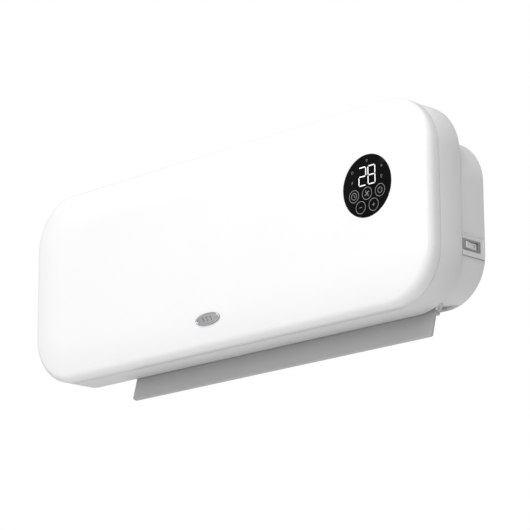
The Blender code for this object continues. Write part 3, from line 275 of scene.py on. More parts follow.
def brushed_chrome():
    look = Look("brushed_chrome", (0.74, 0.74, 0.76), 0.36, 1.0)
    streaks = look.noise(500, 4, look.stretched((0.12, 1, 6)))
    look.colour(streaks, (0.66, 0.66, 0.68), (0.80, 0.80, 0.82))
    look.roughness(streaks, 0.24, 0.42)
    look.relief(streaks, 0.00002, 0.4)
    return look.material


def zinc_steel(name="zinc_steel", tint=(0.56, 0.57, 0.59)):
    """Zinc plating: cloudy spangles with fine rolling scratches along X."""
    look = Look(name, tint, 0.4, 1.0)
    spangle = look.cells(160)
    look.colour(spangle, tuple(c * 0.9 for c in tint), tuple(c * 1.05 for c in tint), 0.1, 0.8)
    look.roughness(look.noise(260, 4), 0.3, 0.48)
    scratches = look.noise(900, 3, look.stretched((0.06, 1, 1)))
    look.relief(scratches, 0.00003, 0.35)
    return look.material


def aluminium():
    look = Look("aluminium", (0.70, 0.70, 0.71), 0.4, 1.0)
    lines = look.noise(1200, 3, look.stretched((0.05, 1, 1)))
    look.colour(lines, (0.62, 0.62, 0.63), (0.74, 0.74, 0.75))
    look.roughness(lines, 0.3, 0.48)
    look.relief(lines, 0.00002, 0.4)
    return look.material


def tinned_brass():
    look = Look("tinned_brass", (0.66, 0.60, 0.42), 0.34, 1.0)
    look.colour(look.noise(300, 4), (0.58, 0.50, 0.32), (0.70, 0.66, 0.50))
    look.roughness(look.noise(500, 4), 0.26, 0.44)
    look.relief(look.noise(1800, 3), 0.00002, 0.3)
    return look.material


def rubber():
    look = Look("rubber", (0.028, 0.028, 0.028), 0.75)
    look.colour(look.noise(120, 5), (0.022, 0.022, 0.022), (0.036, 0.036, 0.035))
    look.roughness(look.noise(400, 4), 0.66, 0.86)
    look.relief(look.noise(2200, 4), 0.00005, 0.5)
    return look.material


def circuit_board():
    """Green solder mask over a faint pattern of copper areas."""
    look = Look("circuit_board", (0.02, 0.13, 0.06), 0.35)
    copper = look.cells(190)
    look.colour(copper, (0.015, 0.10, 0.045), (0.04, 0.20, 0.09), 0.25, 0.45)
    look.roughness(look.noise(300, 4), 0.26, 0.42)
    look.relief(copper, 0.00004, 0.5)
    return look.material


def ceramic():
    look = Look("ceramic", (0.70, 0.68, 0.63), 0.65)
    look.colour(look.noise(240, 6), (0.62, 0.60, 0.55), (0.74, 0.72, 0.68))
    look.roughness(look.noise(600, 4), 0.56, 0.76)
    look.relief(look.noise(1500, 5), 0.00006, 0.5)
    return look.material


def floor_look():
    look = Look("pale_floor", (0.86, 0.86, 0.86), 0.7)
    look.colour(look.noise(3, 4), (0.84, 0.84, 0.84), (0.88, 0.88, 0.88))
    return look.material


# ---- mesh tools ----
def piece(name, points, faces, material, body, slot, sharp=35):
    """A mesh with its faces outward, smooth but for edges over the sharp angle, riding on a body."""
    work = bmesh.new()
    corners = [work.verts.new(point) for point in points]
    for face in faces:
        work.faces.new([corners[index] for index in face])
    bmesh.ops.recalc_face_normals(work, faces=work.faces)
    mesh = bpy.data.meshes.new(name)
    work.to_mesh(mesh)
    work.free()
    return placed(name, mesh, material, body, slot, sharp)


def placed(name, mesh, material, body, slot, sharp=35):
    mesh.materials.clear()
    mesh.materials.append(material)
    mesh.shade_smooth()
    mesh.set_sharp_from_angle(angle=math.radians(sharp))
    made = bpy.data.objects.new(name, mesh)
    bpy.context.scene.collection.objects.link(made)
    if body:
        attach(made, body)
    return made


def loft_faces(loops, ring=False):
    """Points and faces of loops of equal count joined in turn, capped unless they close in a ring."""
    count = len(loops[0])
    points = [point for loop in loops for point in loop]
    faces = []
    for row in range(len(loops) if ring else len(loops) - 1):
        here = row * count
        after = (row + 1) % len(loops) * count
        for i in range(count):
            j = (i + 1) % count
            faces.append((here + i, here + j, after + j, after + i))
    if not ring:
        faces.append(tuple(range(count))[::-1])
        faces.append(tuple(range(len(points) - count, len(points))))
    return points, faces


def loft(name, loops, material, body, slot, ring=False, sharp=35):
    return piece(name, *loft_faces(loops, ring), material, body, slot, sharp)


def bake(made):
    """Turns the object's modifiers into its mesh."""
    graph = bpy.context.evaluated_depsgraph_get()
    mesh = bpy.data.meshes.new_from_object(made.evaluated_get(graph))
    made.modifiers.clear()
    old = made.data
    made.data = mesh
    bpy.data.meshes.remove(old)
    return made


def combine(made, others, operation, sharp=35):
    """Cuts the others from the piece, or joins them on, and removes them."""
    for other in others:
        step = made.modifiers.new(other.name, "BOOLEAN")
        step.operation = operation
        step.solver = "EXACT"
        step.object = other
    bake(made)
    for other in others:
        bpy.data.objects.remove(other)
    made.data.shade_smooth()
    made.data.set_sharp_from_angle(angle=math.radians(sharp))
    return made


def soften(made, width, segments=2, angle=35):
    """Rounds every edge over an angle, as a mould does."""
    step = made.modifiers.new("edges", "BEVEL")
    step.width = width
    step.segments = segments
    step.limit_method = "ANGLE"
    step.angle_limit = math.radians(angle)
    step.use_clamp_overlap = True
    bake(made)
    made.data.shade_smooth()
    made.data.set_sharp_from_angle(angle=math.radians(60))
    flat = made.modifiers.new("flat faces", "WEIGHTED_NORMAL")
    flat.keep_sharp = True
    return bake(made)


def block(name, low, high, material, body=None, slot=None):
    loops = [
        [(x, low[1], low[2]), (x, high[1], low[2]), (x, high[1], high[2]), (x, low[1], high[2])]
        for x in (low[0], high[0])
    ]
    return loft(name, loops, material, body, slot)


def circle(a, b, radius, sides):
    steps = [2 * math.pi * i / sides for i in range(sides)]
    return [(a + radius * math.cos(turn), b + radius * math.sin(turn)) for turn in steps]


def along(axis, a, b, position):
    return {"X": (position, a, b), "Y": (a, position, b), "Z": (a, b, position)}[axis]


def turned(name, axis, centre, profile, material, body=None, slot=None, sides=48, ring=False, sharp=35):
    loops = [
        [along(axis, a, b, position) for a, b in circle(*centre, radius, sides)]
        for radius, position in profile
    ]
    return loft(name, loops, material, body, slot, ring, sharp)


def round_rectangle(x, z, width, height, radius, steps=20):
    outline = []
    for corner, (side, level) in enumerate(((1, -1), (1, 1), (-1, 1), (-1, -1))):
        middle_x = x + side * (width / 2 - radius)
        middle_z = z + level * (height / 2 - radius)
        for step in range(steps + 1):
            turn = math.radians(90 * (corner - 1) + 90 * step / steps)
            outline.append((middle_x + radius * math.cos(turn), middle_z + radius * math.sin(turn)))
    return outline


def refined(node, name, material, body, slot, width, segments=2):
    """The CAD node's shape with its facets merged and its edges rounded; it stands for the node."""
    work = bmesh.new()
    work.from_mesh(frame["nodes"][node].data)
    bmesh.ops.remove_doubles(work, verts=work.verts, dist=FACET_MERGE)
    bmesh.ops.dissolve_limit(work, angle_limit=math.radians(0.5), verts=work.verts, edges=work.edges)
    mesh = bpy.data.meshes.new(name)
    work.to_mesh(mesh)
    work.free()
    made = placed(name, mesh, material, body, slot)
    if width:
        soften(made, width, segments)
    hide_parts(node)
    return made


# ---- front panel and rim ----
def crown_depth(inset):
    slope = 2 * PANEL_CROWN / PANEL_CROWN_WIDTH
    turn_end = math.pi / 2 - math.atan(slope)
    edge_inset = PANEL_EDGE * (1 - math.cos(turn_end))
    edge_depth = PANEL_SIDE + PANEL_EDGE * math.sin(turn_end)
    share = min(1, (inset - edge_inset) / PANEL_CROWN_WIDTH)
    return edge_depth + PANEL_CROWN * (1 - (1 - share) ** 2)


def panel_profile(wall, turns, rises):
    radius = PANEL_EDGE - wall
    slope = 2 * PANEL_CROWN / PANEL_CROWN_WIDTH
    turn_end = math.pi / 2 - math.atan(slope)
    profile = []
    for step in range(turns + 1):
        turn = turn_end * step / turns
        profile.append((PANEL_EDGE - radius * math.cos(turn), PANEL_SIDE + radius * math.sin(turn)))
    start = PANEL_EDGE * (1 - math.cos(turn_end))
    for step in range(1, rises + 1):
        inset = start + PANEL_CROWN_WIDTH * step / rises
        profile.append((inset, crown_depth(inset) - wall))
    return profile


def panel_loop(inset, depth):
    outline = round_rectangle(
        *PANEL_MIDDLE, PANEL_SIZE[0] - 2 * inset, PANEL_SIZE[1] - 2 * inset, PANEL_CORNER - inset
    )
    return [(x, SEAM_Y - depth, z) for x, z in outline]


def front_panel(material):
    tongue = RIM_WALL + GAP
    inside = tongue + TONGUE_WALL
    seat = [
        (PANEL_WALL, PANEL_SIDE * 0.7),
        (inside, PANEL_SIDE * 0.4),
        (inside, TONGUE_EASE - TONGUE),
        (inside - TONGUE_EASE, -TONGUE),
        (tongue + TONGUE_EASE, -TONGUE),
        (tongue, TONGUE_EASE - TONGUE),
        (tongue, 0),
        (SEAM_ROUND, 0),
        (SEAM_ROUND * EASE_SHARE, SEAM_ROUND * EASE_SHARE),
        (0, SEAM_ROUND),
    ]
    profile = panel_profile(PANEL_WALL, 5, 6)[::-1] + seat + panel_profile(0, 14, 16)
    loops = [panel_loop(*point) for point in profile]
    panel = loft("front_cover", loops, material, "housing", "white_gloss")
    window = turned(
        "window",
        "Y",
        LENS_MIDDLE,
        ((LENS_RADIUS + GAP, PANEL_LOW.y - CUT_PAST), (LENS_RADIUS + GAP, SEAM_Y - PANEL_SIDE)),
        material,
        sides=128,
    )
    combine(panel, [window], "DIFFERENCE", 30)
    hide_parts("front_panel")
    return panel


def post_places():
    reach = CASE_CORNER - CASE_WALL - GAP - POST_RADIUS
    half = (CASE_HIGH.x - CASE_LOW.x) / 2
    places = []
    for side, level, turn in ((-1, -1, 45), (-1, 1, 45), (1, -1, 30), (1, 1, 45)):
        draft = CASE_DRAFT if level < 0 else 0
        middle_x = CASE_MIDDLE_X + side * (half - CASE_CORNER + draft)
        middle_z = CASE_LOW.z + CASE_CORNER if level < 0 else CASE_HIGH.z - CASE_CORNER
        across = (reach - draft) * math.cos(math.radians(turn))
        up = (reach - draft) * math.sin(math.radians(turn))
        places.append((middle_x + side * across, middle_z + level * up))
    return places


def front_rim(material):
    """Deep rim with eased edges, its back plate and window, and the four screw posts."""
    low = PANEL_LOW.z + RIM_FOOT
    high = CASE_HIGH.z - RIM_LIP
    width = CASE_HIGH.x - CASE_LOW.x - 2 * RIM_LIP
    window = round_rectangle(CASE_MIDDLE_X, (low + high) / 2, width, high - low, CASE_CORNER - RIM_LIP)
    depth = SEAM_Y - RIM_BACK_Y
    inner_y = RIM_BACK_Y - RIM_WALL
    ease = SEAM_ROUND * EASE_SHARE
    loops = [panel_loop(SEAM_ROUND, -GAP), panel_loop(ease, -GAP - ease)]
    loops.append(panel_loop(0, -GAP - SEAM_ROUND))
    for step in range(5):
        turn = math.pi / 2 * step / 4
        inset = RIM_BACK_ROUND * (1 - math.cos(turn))
        loops.append(panel_loop(inset, depth + RIM_BACK_ROUND * (1 - math.sin(turn))))
    loops += [
        [(x, RIM_BACK_Y, z) for x, z in window],
        [(x, inner_y, z) for x, z in window],
        panel_loop(RIM_WALL, depth + RIM_WALL),
        panel_loop(RIM_WALL, -GAP),
    ]
    rim = loft("front_rim", loops, material, "housing", "white_satin", ring=True, sharp=40)
    posts = []
    holes = []
    for number, place in enumerate(post_places(), 1):
        profile = (
            (POST_RADIUS, inner_y - POST_SINK),
            (POST_RADIUS, RIM_END_Y - POST_ROUND),
            (POST_RADIUS - POST_ROUND, RIM_END_Y),
        )
        posts.append(turned(f"post_{number}", "Y", place, profile, material, sides=32))
        bore = ((SCREW_HOLE, RIM_END_Y - BORE_DEPTH), (SCREW_HOLE, CUT_PAST))
        holes.append(turned(f"bore_{number}", "Y", place, bore, material, sides=32))
    combine(rim, posts, "UNION")
    combine(rim, holes, "DIFFERENCE", 40)
    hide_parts("front_frame")
    return rim


# ---- rear casing ----
def case_outline(inset, y):
    share = (y - CASE_FRONT_Y) / (CASE_BACK_Y - CASE_FRONT_Y)
    low = CASE_LOW.z + CASE_DRAFT * share + inset
    high = CASE_HIGH.z - inset
    radius = CASE_CORNER - CASE_DRAFT * share - inset
    width = CASE_HIGH.x - CASE_LOW.x - 2 * inset
    outline = round_rectangle(CASE_MIDDLE_X, (low + high) / 2, width, high - low, radius)
    return [(x, y, z) for x, z in outline]


def rear_case(material):
    inner_y = CASE_BACK_Y - CASE_WALL
    loops = [
        case_outline(CASE_WALL + CASE_INNER_ROUND, inner_y),
        case_outline(CASE_WALL, inner_y - CASE_INNER_ROUND),
        case_outline(CASE_WALL, CASE_FRONT_Y),
        case_outline(CASE_FRONT_ROUND, CASE_FRONT_Y),
        case_outline(0, CASE_FRONT_Y + CASE_FRONT_ROUND),
    ]
    for step in range(6):
        turn = math.pi / 2 * step / 5
        inset = CASE_BACK_ROUND * (1 - math.cos(turn))
        loops.append(case_outline(inset, CASE_BACK_Y - CASE_BACK_ROUND * (1 - math.sin(turn))))
    casing = loft("back_casing", loops, material, "housing", "white_satin", sharp=40)
    combine(casing, list(case_cutters(material, inner_y)), "DIFFERENCE", 40)
    combine(casing, list(outlet_sills(material)), "UNION", 40)
    soften(casing, CASE_EDGE, 2, 50)
    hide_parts("rear_casing")
    return casing


def case_cutters(material, inner_y):
    """Blocks and rods for the inlet, outlet, switch, hooks, screws and gland."""
    past = CUT_PAST
    yield block(
        "inlet_cut",
        (INLET_LOW.x - GAP, INLET_LOW.y - GAP, CASE_HIGH.z - past),
        (INLET_HIGH.x + GAP, INLET_HIGH.y + GAP, CASE_HIGH.z + past),
        material,
    )
    yield block(
        "outlet_cut",
        (FLAP_LOW.x - OUTLET_GAP, CASE_FRONT_Y - past, CASE_LOW.z - past),
        (FLAP_HIGH.x + OUTLET_GAP, inner_y - OUTLET_GAP, CASE_LOW.z + past),
        material,
    )
    yield block(
        "switch_cut",
        (CASE_HIGH.x - past, CASE_FRONT_Y - past, BEZEL_LOW.z + SWITCH_NOTCH),
        (CASE_HIGH.x + past, BEZEL_HIGH.y - SWITCH_NOTCH, BEZEL_HIGH.z - SWITCH_NOTCH),
        material,
    )
    for side in (-1, 1):
        yield block(
            f"hook_cut_{side}",
            (side * HOOK_PLACE - HOOK_CUT_HALF, inner_y - past, HOOK_CUT_LOW),
            (side * HOOK_PLACE + HOOK_CUT_HALF, past, HOOK_CUT_HIGH),
            material,
        )
    for number, place in enumerate(post_places(), 1):
        hole = ((SCREW_HOLE, inner_y - past), (SCREW_HOLE, past))
        yield turned(f"hole_cut_{number}", "Y", place, hole, material, sides=32)
    middle = ((GLAND_LOW.x + GLAND_HIGH.x) / 2, (GLAND_LOW.z + GLAND_HIGH.z) / 2)
    hole = ((GLAND_HOLE, inner_y - past), (GLAND_HOLE, past))
    yield turned("gland_cut", "Y", middle, hole, material, sides=48)


def outlet_sills(material):
    """Ledges over the outlet's two ends that the closed flap's ends lie under."""
    front = HINGE.y + SILL_START
    back = CASE_BACK_Y - CASE_WALL + SILL_LAP
    low = [case_bottom(y) + SILL_RISE for y in (front, back)]
    start = FLAP_LOW.x - OUTLET_GAP
    end = FLAP_HIGH.x + OUTLET_GAP
    for x0, x1 in ((start - SILL_LAP, start + SILL_LENGTH), (end - SILL_LENGTH, end + SILL_LAP)):
        section = [(front, low[0]), (back, low[1])]
        section += [(back, low[1] + SILL_SHEET), (front, low[0] + SILL_SHEET)]
        loops = [[(x, y, z) for y, z in section] for x in (x0, x1)]
        yield loft("sill", loops, material, None, None)


def case_bottom(y):
    return CASE_LOW.z + CASE_DRAFT * (y - CASE_FRONT_Y) / (CASE_BACK_Y - CASE_FRONT_Y)


# ---- mains switch ----
def rocker_point(run, z, proud):
    """World point on the rocker's bent face: run along it from its middle, z up, and a height off it."""
    out = ROCKER_PROUD + abs(run) * math.tan(ROCKER_TILT) + proud
    x = out * math.cos(ROCKER_TILT) - run * math.sin(ROCKER_TILT)
    y = out * math.sin(ROCKER_TILT) + run * math.cos(ROCKER_TILT)
    return (ROCKER_AXIS.x + x, ROCKER_AXIS.y + y, ROCKER_AXIS.z + z)


def switch_painted_shadow_gap(material):
    """Thin dark strip that shows as a line round the switch plate: painted shadow of the gap between plate
    and casing.
    """
    inner = []
    outer = []
    for reach, outline in ((0, inner), (PAINTED_GAP, outer)):
        front = max(BEZEL_LOW.y - reach, CASE_FRONT_Y)
        back = BEZEL_HIGH.y + reach
        low = BEZEL_LOW.z - reach
        high = BEZEL_HIGH.z + reach
        outline += [(front, low), (back, low), (back, high), (front, high)]
    loops = []
    for outline, x in (
        (outer, PAINTED_GAP_BACK),
        (outer, PAINTED_GAP_FRONT),
        (inner, PAINTED_GAP_FRONT),
        (inner, PAINTED_GAP_BACK),
    ):
        loops.append([(CASE_HIGH.x + x, y, z) for y, z in outline])
    return loft("switch_painted_shadow_gap", loops, material, "housing", "dark_plastic", ring=True)


def rocker_marks():
    """A bar for on and a ring for off, printed on the rocker's two halves."""
    points = []
    faces = []
    half_run, half_z = ROCKER_BAR_HALF
    near = half_run - ROCKER_MARK_RUN
    far = -half_run - ROCKER_MARK_RUN
    bar = [(far, -half_z), (near, -half_z), (near, half_z), (far, half_z)]
    ring = circle(ROCKER_MARK_RUN, 0, ROCKER_RING[0], 28)
    hole = circle(ROCKER_MARK_RUN, 0, ROCKER_RING[1], 28)
    depths = (ROCKER_MARK_BACK, ROCKER_MARK_FRONT)
    for outer, inner in ((bar, None), (ring, hole)):
        loops = [[rocker_point(run, z, proud) for run, z in outer] for proud in depths]
        if inner:
            loops += [[rocker_point(run, z, proud) for run, z in inner] for proud in depths[::-1]]
        new_points, new_faces = loft_faces(loops, ring=inner is not None)
        start = len(points)
        points += new_points
        faces += [tuple(start + index for index in face) for face in new_faces]
    return piece("rocker_marks", points, faces, dark_moulding("mark_grey", 0.22), "rocker", "dark_plastic")


# ---- display ----
PRINT_DEPTH = 0.00006
PRINT_SIDES = 6


def display_glass():
    face = LENS_LOW.y
    profile = [(LENS_RADIUS, LENS_HIGH.y)]
    for step in range(4):
        turn = math.pi / 2 * step / 3
        profile.append(
            (LENS_RADIUS - LENS_BEVEL * (1 - math.cos(turn)), face + LENS_BEVEL * (1 - math.sin(turn)))
        )
    glass = turned("display_glass", "Y", LENS_MIDDLE, profile, black_lens(), "housing", "black_lens", 128)
    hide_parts("display_lens")
    return glass


class Print:
    """Thin marks on the display's face, in x and z from the lens's middle, gathered into one mesh."""

    def __init__(self):
        self.points = []
        self.faces = []

    def band(self, outer, inner=None):
        """A flat plate between an outline and, where given, a matching inner one."""
        back = LENS_LOW.y
        front = back - PRINT_DEPTH
        loops = []
        for outline, y in ((outer, back), (outer, front)):
            loops.append([(LENS_MIDDLE[0] + x, y, LENS_MIDDLE[1] + z) for x, z in outline])
        if inner:
            for outline, y in ((inner, front), (inner, back)):
                loops.append([(LENS_MIDDLE[0] + x, y, LENS_MIDDLE[1] + z) for x, z in outline])
        points, faces = loft_faces(loops, ring=inner is not None)
        start = len(self.points)
        self.points += points
        self.faces += [tuple(start + index for index in face) for face in faces]

    def ring(self, x, z, radius, width, start=0, sweep=360, sides=40):
        if sweep == 360:
            self.band(circle(x, z, radius, sides), circle(x, z, radius - width, sides))
            return
        outline = []
        count = max(4, int(sides * sweep / 360))
        for reach, steps in ((radius, range(count + 1)), (radius - width, range(count, -1, -1))):
            for step in steps:
                turn = math.radians(start + sweep * step / count)
                outline.append((x + reach * math.cos(turn), z + reach * math.sin(turn)))
        self.band(outline)

    def bar(self, start, end, width):
        """A straight stroke with round ends."""
        run = math.atan2(end[1] - start[1], end[0] - start[0])
        outline = []
        for middle, turn in ((end, run - math.pi / 2), (start, run + math.pi / 2)):
            for step in range(PRINT_SIDES + 1):
                now = turn + math.pi * step / PRINT_SIDES
                across = width / 2 * math.cos(now)
                up = width / 2 * math.sin(now)
                outline.append((middle[0] + across, middle[1] + up))
        self.band(outline)

    def segment(self, start, end, width):
        """A straight stroke with pointed ends, as in a seven-segment figure."""
        run = Vector((end[0] - start[0], end[1] - start[1])).normalized()
        side = Vector((-run.y, run.x)) * width / 2
        a = Vector(start)
        b = Vector(end)
        cut = run * width / 2
        outline = [a, a + cut - side, b - cut - side, b, b - cut + side, a + cut + side]
        self.band([(point.x, point.y) for point in outline])

    def finish(self, name, material, slot):
        return piece(name, self.points, self.faces, material, "housing", slot)


SEGMENTS = {
    "a": ((0, 2), (1, 2)),
    "b": ((1, 2), (1, 1)),
    "c": ((1, 1), (1, 0)),
    "d": ((0, 0), (1, 0)),
    "e": ((0, 1), (0, 0)),
    "f": ((0, 2), (0, 1)),
    "g": ((0, 1), (1, 1)),
}
FIGURES = {2: "abged", 8: "abcdefg"}
FIGURE_LEFTS = ((2, -0.0097), (8, 0.0017))
FIGURE_LOW = 0.0011
FIGURE_WIDTH = 0.0086
FIGURE_HEIGHT = 0.0175
FIGURE_STROKE = 0.00100
SEGMENT_SETBACK = 0.42


def figure(marks, number, left, low, width, height, stroke):
    for letter in FIGURES[number]:
        (x0, z0), (x1, z1) = SEGMENTS[letter]
        start = Vector((left + x0 * width, low + z0 * height / 2))
        end = Vector((left + x1 * width, low + z1 * height / 2))
        run = (end - start).normalized() * stroke * SEGMENT_SETBACK
        marks.segment(start + run, end - run, stroke)


def display_figures():
    marks = Print()
    for number, left in FIGURE_LEFTS:
        figure(marks, number, left, FIGURE_LOW, FIGURE_WIDTH, FIGURE_HEIGHT, FIGURE_STROKE)
    return marks.finish("display_figures", lit("lit_white", 0.85, 0.55), "display_light")


KEY_RADIUS = 0.0061
KEY_STROKE = 0.00042
KEY_PITCH = 0.0162
KEY_UPPER = -0.0073
KEY_LOWER = -0.0195


def key_marks():
    """Rings and symbols printed for the five touch keys: timer, fan, power, less, more."""
    marks = Print()
    places = ((-KEY_PITCH, KEY_UPPER), (0, KEY_UPPER), (KEY_PITCH, KEY_UPPER))
    places += ((-KEY_PITCH / 2, KEY_LOWER), (KEY_PITCH / 2, KEY_LOWER))
    for x, z in places:
        marks.ring(x, z, KEY_RADIUS, KEY_STROKE)
    timer, fan, power, less, more = places
    marks.ring(*timer, 0.0034, KEY_STROKE)
    marks.bar(timer, (timer[0], timer[1] + 0.0020), KEY_STROKE)
    marks.bar(timer, (timer[0] + 0.0014, timer[1] - 0.0008), KEY_STROKE)
    for step in range(4):
        turn = math.radians(45 + 90 * step)
        tip = (fan[0] + 0.0026 * math.cos(turn), fan[1] + 0.0026 * math.sin(turn))
        marks.bar((fan[0], fan[1]), tip, 0.0007)
        hook = (tip[0] + 0.0010 * math.cos(turn - 1.4), tip[1] + 0.0010 * math.sin(turn - 1.4))
        marks.bar(tip, hook, 0.0006)
    marks.ring(*power, 0.0029, KEY_STROKE, 118, 304)
    marks.bar((power[0], power[1] + 0.0010), (power[0], power[1] + 0.0033), KEY_STROKE)
    for x, z in (less, more):
        marks.bar((x - 0.0016, z), (x + 0.0016, z), KEY_STROKE)
    marks.bar((more[0], more[1] - 0.0016), (more[0], more[1] + 0.0016), KEY_STROKE)
    return marks.finish("key_marks", lit("printed_grey", 0.30, 0.04), "display_light")


def status_marks():
    """Small dim symbols round the figures: signal, flake, lamp, mode ring and swing."""
    marks = Print()
    thin = 0.0004
    for radius in (0.0011, 0.0021):
        marks.ring(0.0002, 0.0232, radius, thin, 45, 90)
    marks.ring(0.0002, 0.0232, 0.0005, 0.00045)
    for step in range(3):
        turn = math.radians(30 + 60 * step)
        across = Vector((math.cos(turn), math.sin(turn))) * 0.0013
        middle = Vector((0.0184, 0.0157))
        marks.bar(middle - across, middle + across, thin)
    marks.ring(0.0182, 0.0061, 0.0012, thin)
    marks.bar((0.0176, 0.0041), (0.0188, 0.0041), thin)
    marks.ring(-0.0181, 0.0160, 0.0013, thin)
    for step in range(3):
        low = 0.0050 + 0.0008 * step
        marks.bar((-0.0192, low), (-0.0174, low + 0.0006), thin)
    return marks.finish("status_marks", lit("printed_dim", 0.17, 0.02), "display_light")


# ---- badge ----
# Reach and height of the dark ring round the badge, a painted shadow of the gap round it.
BADGE_SHADOW_RING = 0.00025
BADGE_SHADOW_RING_HEIGHT = 0.0002
WAVE_SHIFTS = (-0.0052, 0, 0.0052)
WAVE_SWING = 0.0011
WAVE_HALF = 0.00035
WAVE_HEIGHT = 0.0026
WAVE_BACK = 0.0002
WAVE_FRONT = -0.00025
WAVE_STEPS = 14


def badge_plate():
    """Plain chrome oval on the slope above the lower edge: a rounded border, a brushed middle and waves."""
    middle = ((BADGE_LOW.x + BADGE_HIGH.x) / 2, (BADGE_LOW.z + BADGE_HIGH.z) / 2)
    half_x = (BADGE_HIGH.x - BADGE_LOW.x) / 2
    half_z = (BADGE_HIGH.z - BADGE_LOW.z) / 2
    inset = middle[1] - PANEL_LOW.z
    slope = (crown_depth(inset + 0.001) - crown_depth(inset - 0.001)) / 0.002
    face_y = SEAM_Y - crown_depth(inset) - GAP - 0.0001

    def ring(shrink, height):
        loop = []
        for x, z in circle(0, 0, 1, 96):
            up = z * (half_z - shrink)
            loop.append((middle[0] + x * (half_x - shrink), face_y - height - slope * up, middle[1] + up))
        return loop

    loops = [ring(0.0001, 0), ring(0, 0.0003)]
    for step in range(9):
        turn = math.pi * step / 8
        loops.append(ring(0.0007 - 0.0007 * math.cos(turn), 0.0006 + 0.0006 * math.sin(turn)))
    border = loft("badge_border", loops + [ring(0.0015, 0.0005)], chrome(), "housing", "chrome", sharp=50)
    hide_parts("badge")
    # Dark ring just outside the chrome border: painted shadow of the gap round the badge.
    seat = [ring(-BADGE_SHADOW_RING, 0), ring(-BADGE_SHADOW_RING, BADGE_SHADOW_RING_HEIGHT)]
    seat += [ring(0.0010, BADGE_SHADOW_RING_HEIGHT), ring(0.0010, 0)]
    loft("badge_painted_shadow_ring", seat, dark_moulding("badge_shadow", 0.2), "housing", "chrome", ring=True)
    oval = loft(
        "badge_middle",
        [ring(0.0013, 0.0004), ring(0.0013, 0.00062), ring(0.0015, 0.00070)],
        brushed_chrome(),
        "housing",
        "chrome",
    )
    waves(middle, face_y - 0.00068, slope)
    return oval


def waves(middle, face_y, slope):
    """Three upright S-shaped strokes, raised from the badge's middle."""
    points = []
    faces = []
    for shift in WAVE_SHIFTS:
        loops = []
        for step in range(WAVE_STEPS + 1):
            up = WAVE_HEIGHT * (2 * step / WAVE_STEPS - 1)
            across = shift + WAVE_SWING * math.sin(2 * math.pi * step / WAVE_STEPS)
            width = WAVE_HALF * math.sin(math.pi * (0.12 + 0.76 * step / WAVE_STEPS))
            y = face_y - slope * up
            x = middle[0] + across
            z = middle[1] + up
            back = y + WAVE_BACK
            front = y + WAVE_FRONT
            left = x - width
            right = x + width
            loops.append([(left, back, z), (left, front, z), (right, front, z), (right, back, z)])
        new_points, new_faces = loft_faces(loops)
        start = len(points)
        points += new_points
        faces += [tuple(start + index for index in face) for face in new_faces]
    return piece("badge_waves", points, faces, dark_moulding("badge_ink", 0.09), "housing", "chrome")


# ---- louvre flap ----
def louvre(material):
    """The flap with rounded lower corners and soft edges, its pins and horn as the CAD has them."""
    blade = refined("flap", "louvre_blade", material, "louvre", "white_satin", 0)
    inner = OUTLET_MARGIN - 2 * GAP
    cutters = [
        corner_cutter(FLAP_LOW.x + inner, 1, material),
        corner_cutter(FLAP_HIGH.x - inner, -1, material),
    ]
    combine(blade, cutters, "DIFFERENCE")
    soften(blade, FLAP_EDGE, 2, 40)
    return blade


def corner_cutter(end, inward, material):
    """A prism that leaves a quarter circle at the blade's free corner."""
    past = 0.004
    middle_x = end + inward * FLAP_CORNER
    middle_run = FLAP_CHORD - FLAP_CORNER
    outline = [(end - inward * past, middle_run), (end - inward * past, FLAP_CHORD + past)]
    outline.append((middle_x, FLAP_CHORD + past))
    for step in range(9):
        turn = math.pi / 2 * (1 - step / 8)
        across = inward * FLAP_CORNER * math.cos(turn)
        outline.append((middle_x - across, middle_run + FLAP_CORNER * math.sin(turn)))
    loops = []
    for rise in (-past, past):
        loops.append([blade_point(x, run, rise) for x, run in outline])
    return loft("corner_cut", loops, material, None, None)


def blade_point(x, run, rise):
    """World point of a place on the open blade: x, along its chord, and off its face."""
    y = run * math.cos(FLAP_LEAN) + rise * math.sin(FLAP_LEAN)
    z = rise * math.cos(FLAP_LEAN) - run * math.sin(FLAP_LEAN)
    return (x, HINGE.y + y, HINGE.z + z)


# ---- floor, light, camera ----
FLOOR_Z = -0.95
FLOOR_HALF = 14.0
FLOOR_STEPS = 24
CAMERA_PLACE = (1.6849, -1.7157, -0.6621)
CAMERA_TURN = (104.762, 0.336, 44.814)
CAMERA_LENS = 168.73
SENSOR = 36
FILL = 0.45
# each lamp: name, place, where it aims, width and height in metres, power in watts
LAMPS = (
    ("key", (-0.3, -2.3, 2.05), (0, 0, -0.02), (2.4, 1.6), 43),
    ("low", (0.9, -3.0, 0.75), (0, 0, -0.08), (1.4, 1.0), 17),
    ("side", (1.7, -2.2, 2.0), (0.1, 0, -0.02), (1.2, 1.2), 21),
    ("top", (0.4, -0.3, 2.2), (0.05, -0.03, 0), (2.4, 1.6), 14),
)


def floor():
    """A pale floor well below the heater, riding on no body."""
    half = FLOOR_HALF
    steps = FLOOR_STEPS
    points = []
    faces = []
    for row in range(steps + 1):
        for column in range(steps + 1):
            x = half * (2 * column / steps - 1)
            y = half * (2 * row / steps - 1)
            points.append((x, y, FLOOR_Z))
    for row in range(steps):
        for column in range(steps):
            start = row * (steps + 1) + column
            faces.append((start, start + 1, start + steps + 2, start + steps + 1))
    ground = piece("floor", points, faces, floor_look(), None, None)


def area_light(name, place, target, size, power):
    data = bpy.data.lights.new(name, "AREA")
    data.shape = "RECTANGLE"
    data.size, data.size_y = size
    data.energy = power
    lamp = bpy.data.objects.new(name, data)
    lamp.location = place
    lamp.rotation_euler = (Vector(target) - Vector(place)).to_track_quat("-Z", "Y").to_euler()
    bpy.context.scene.collection.objects.link(lamp)


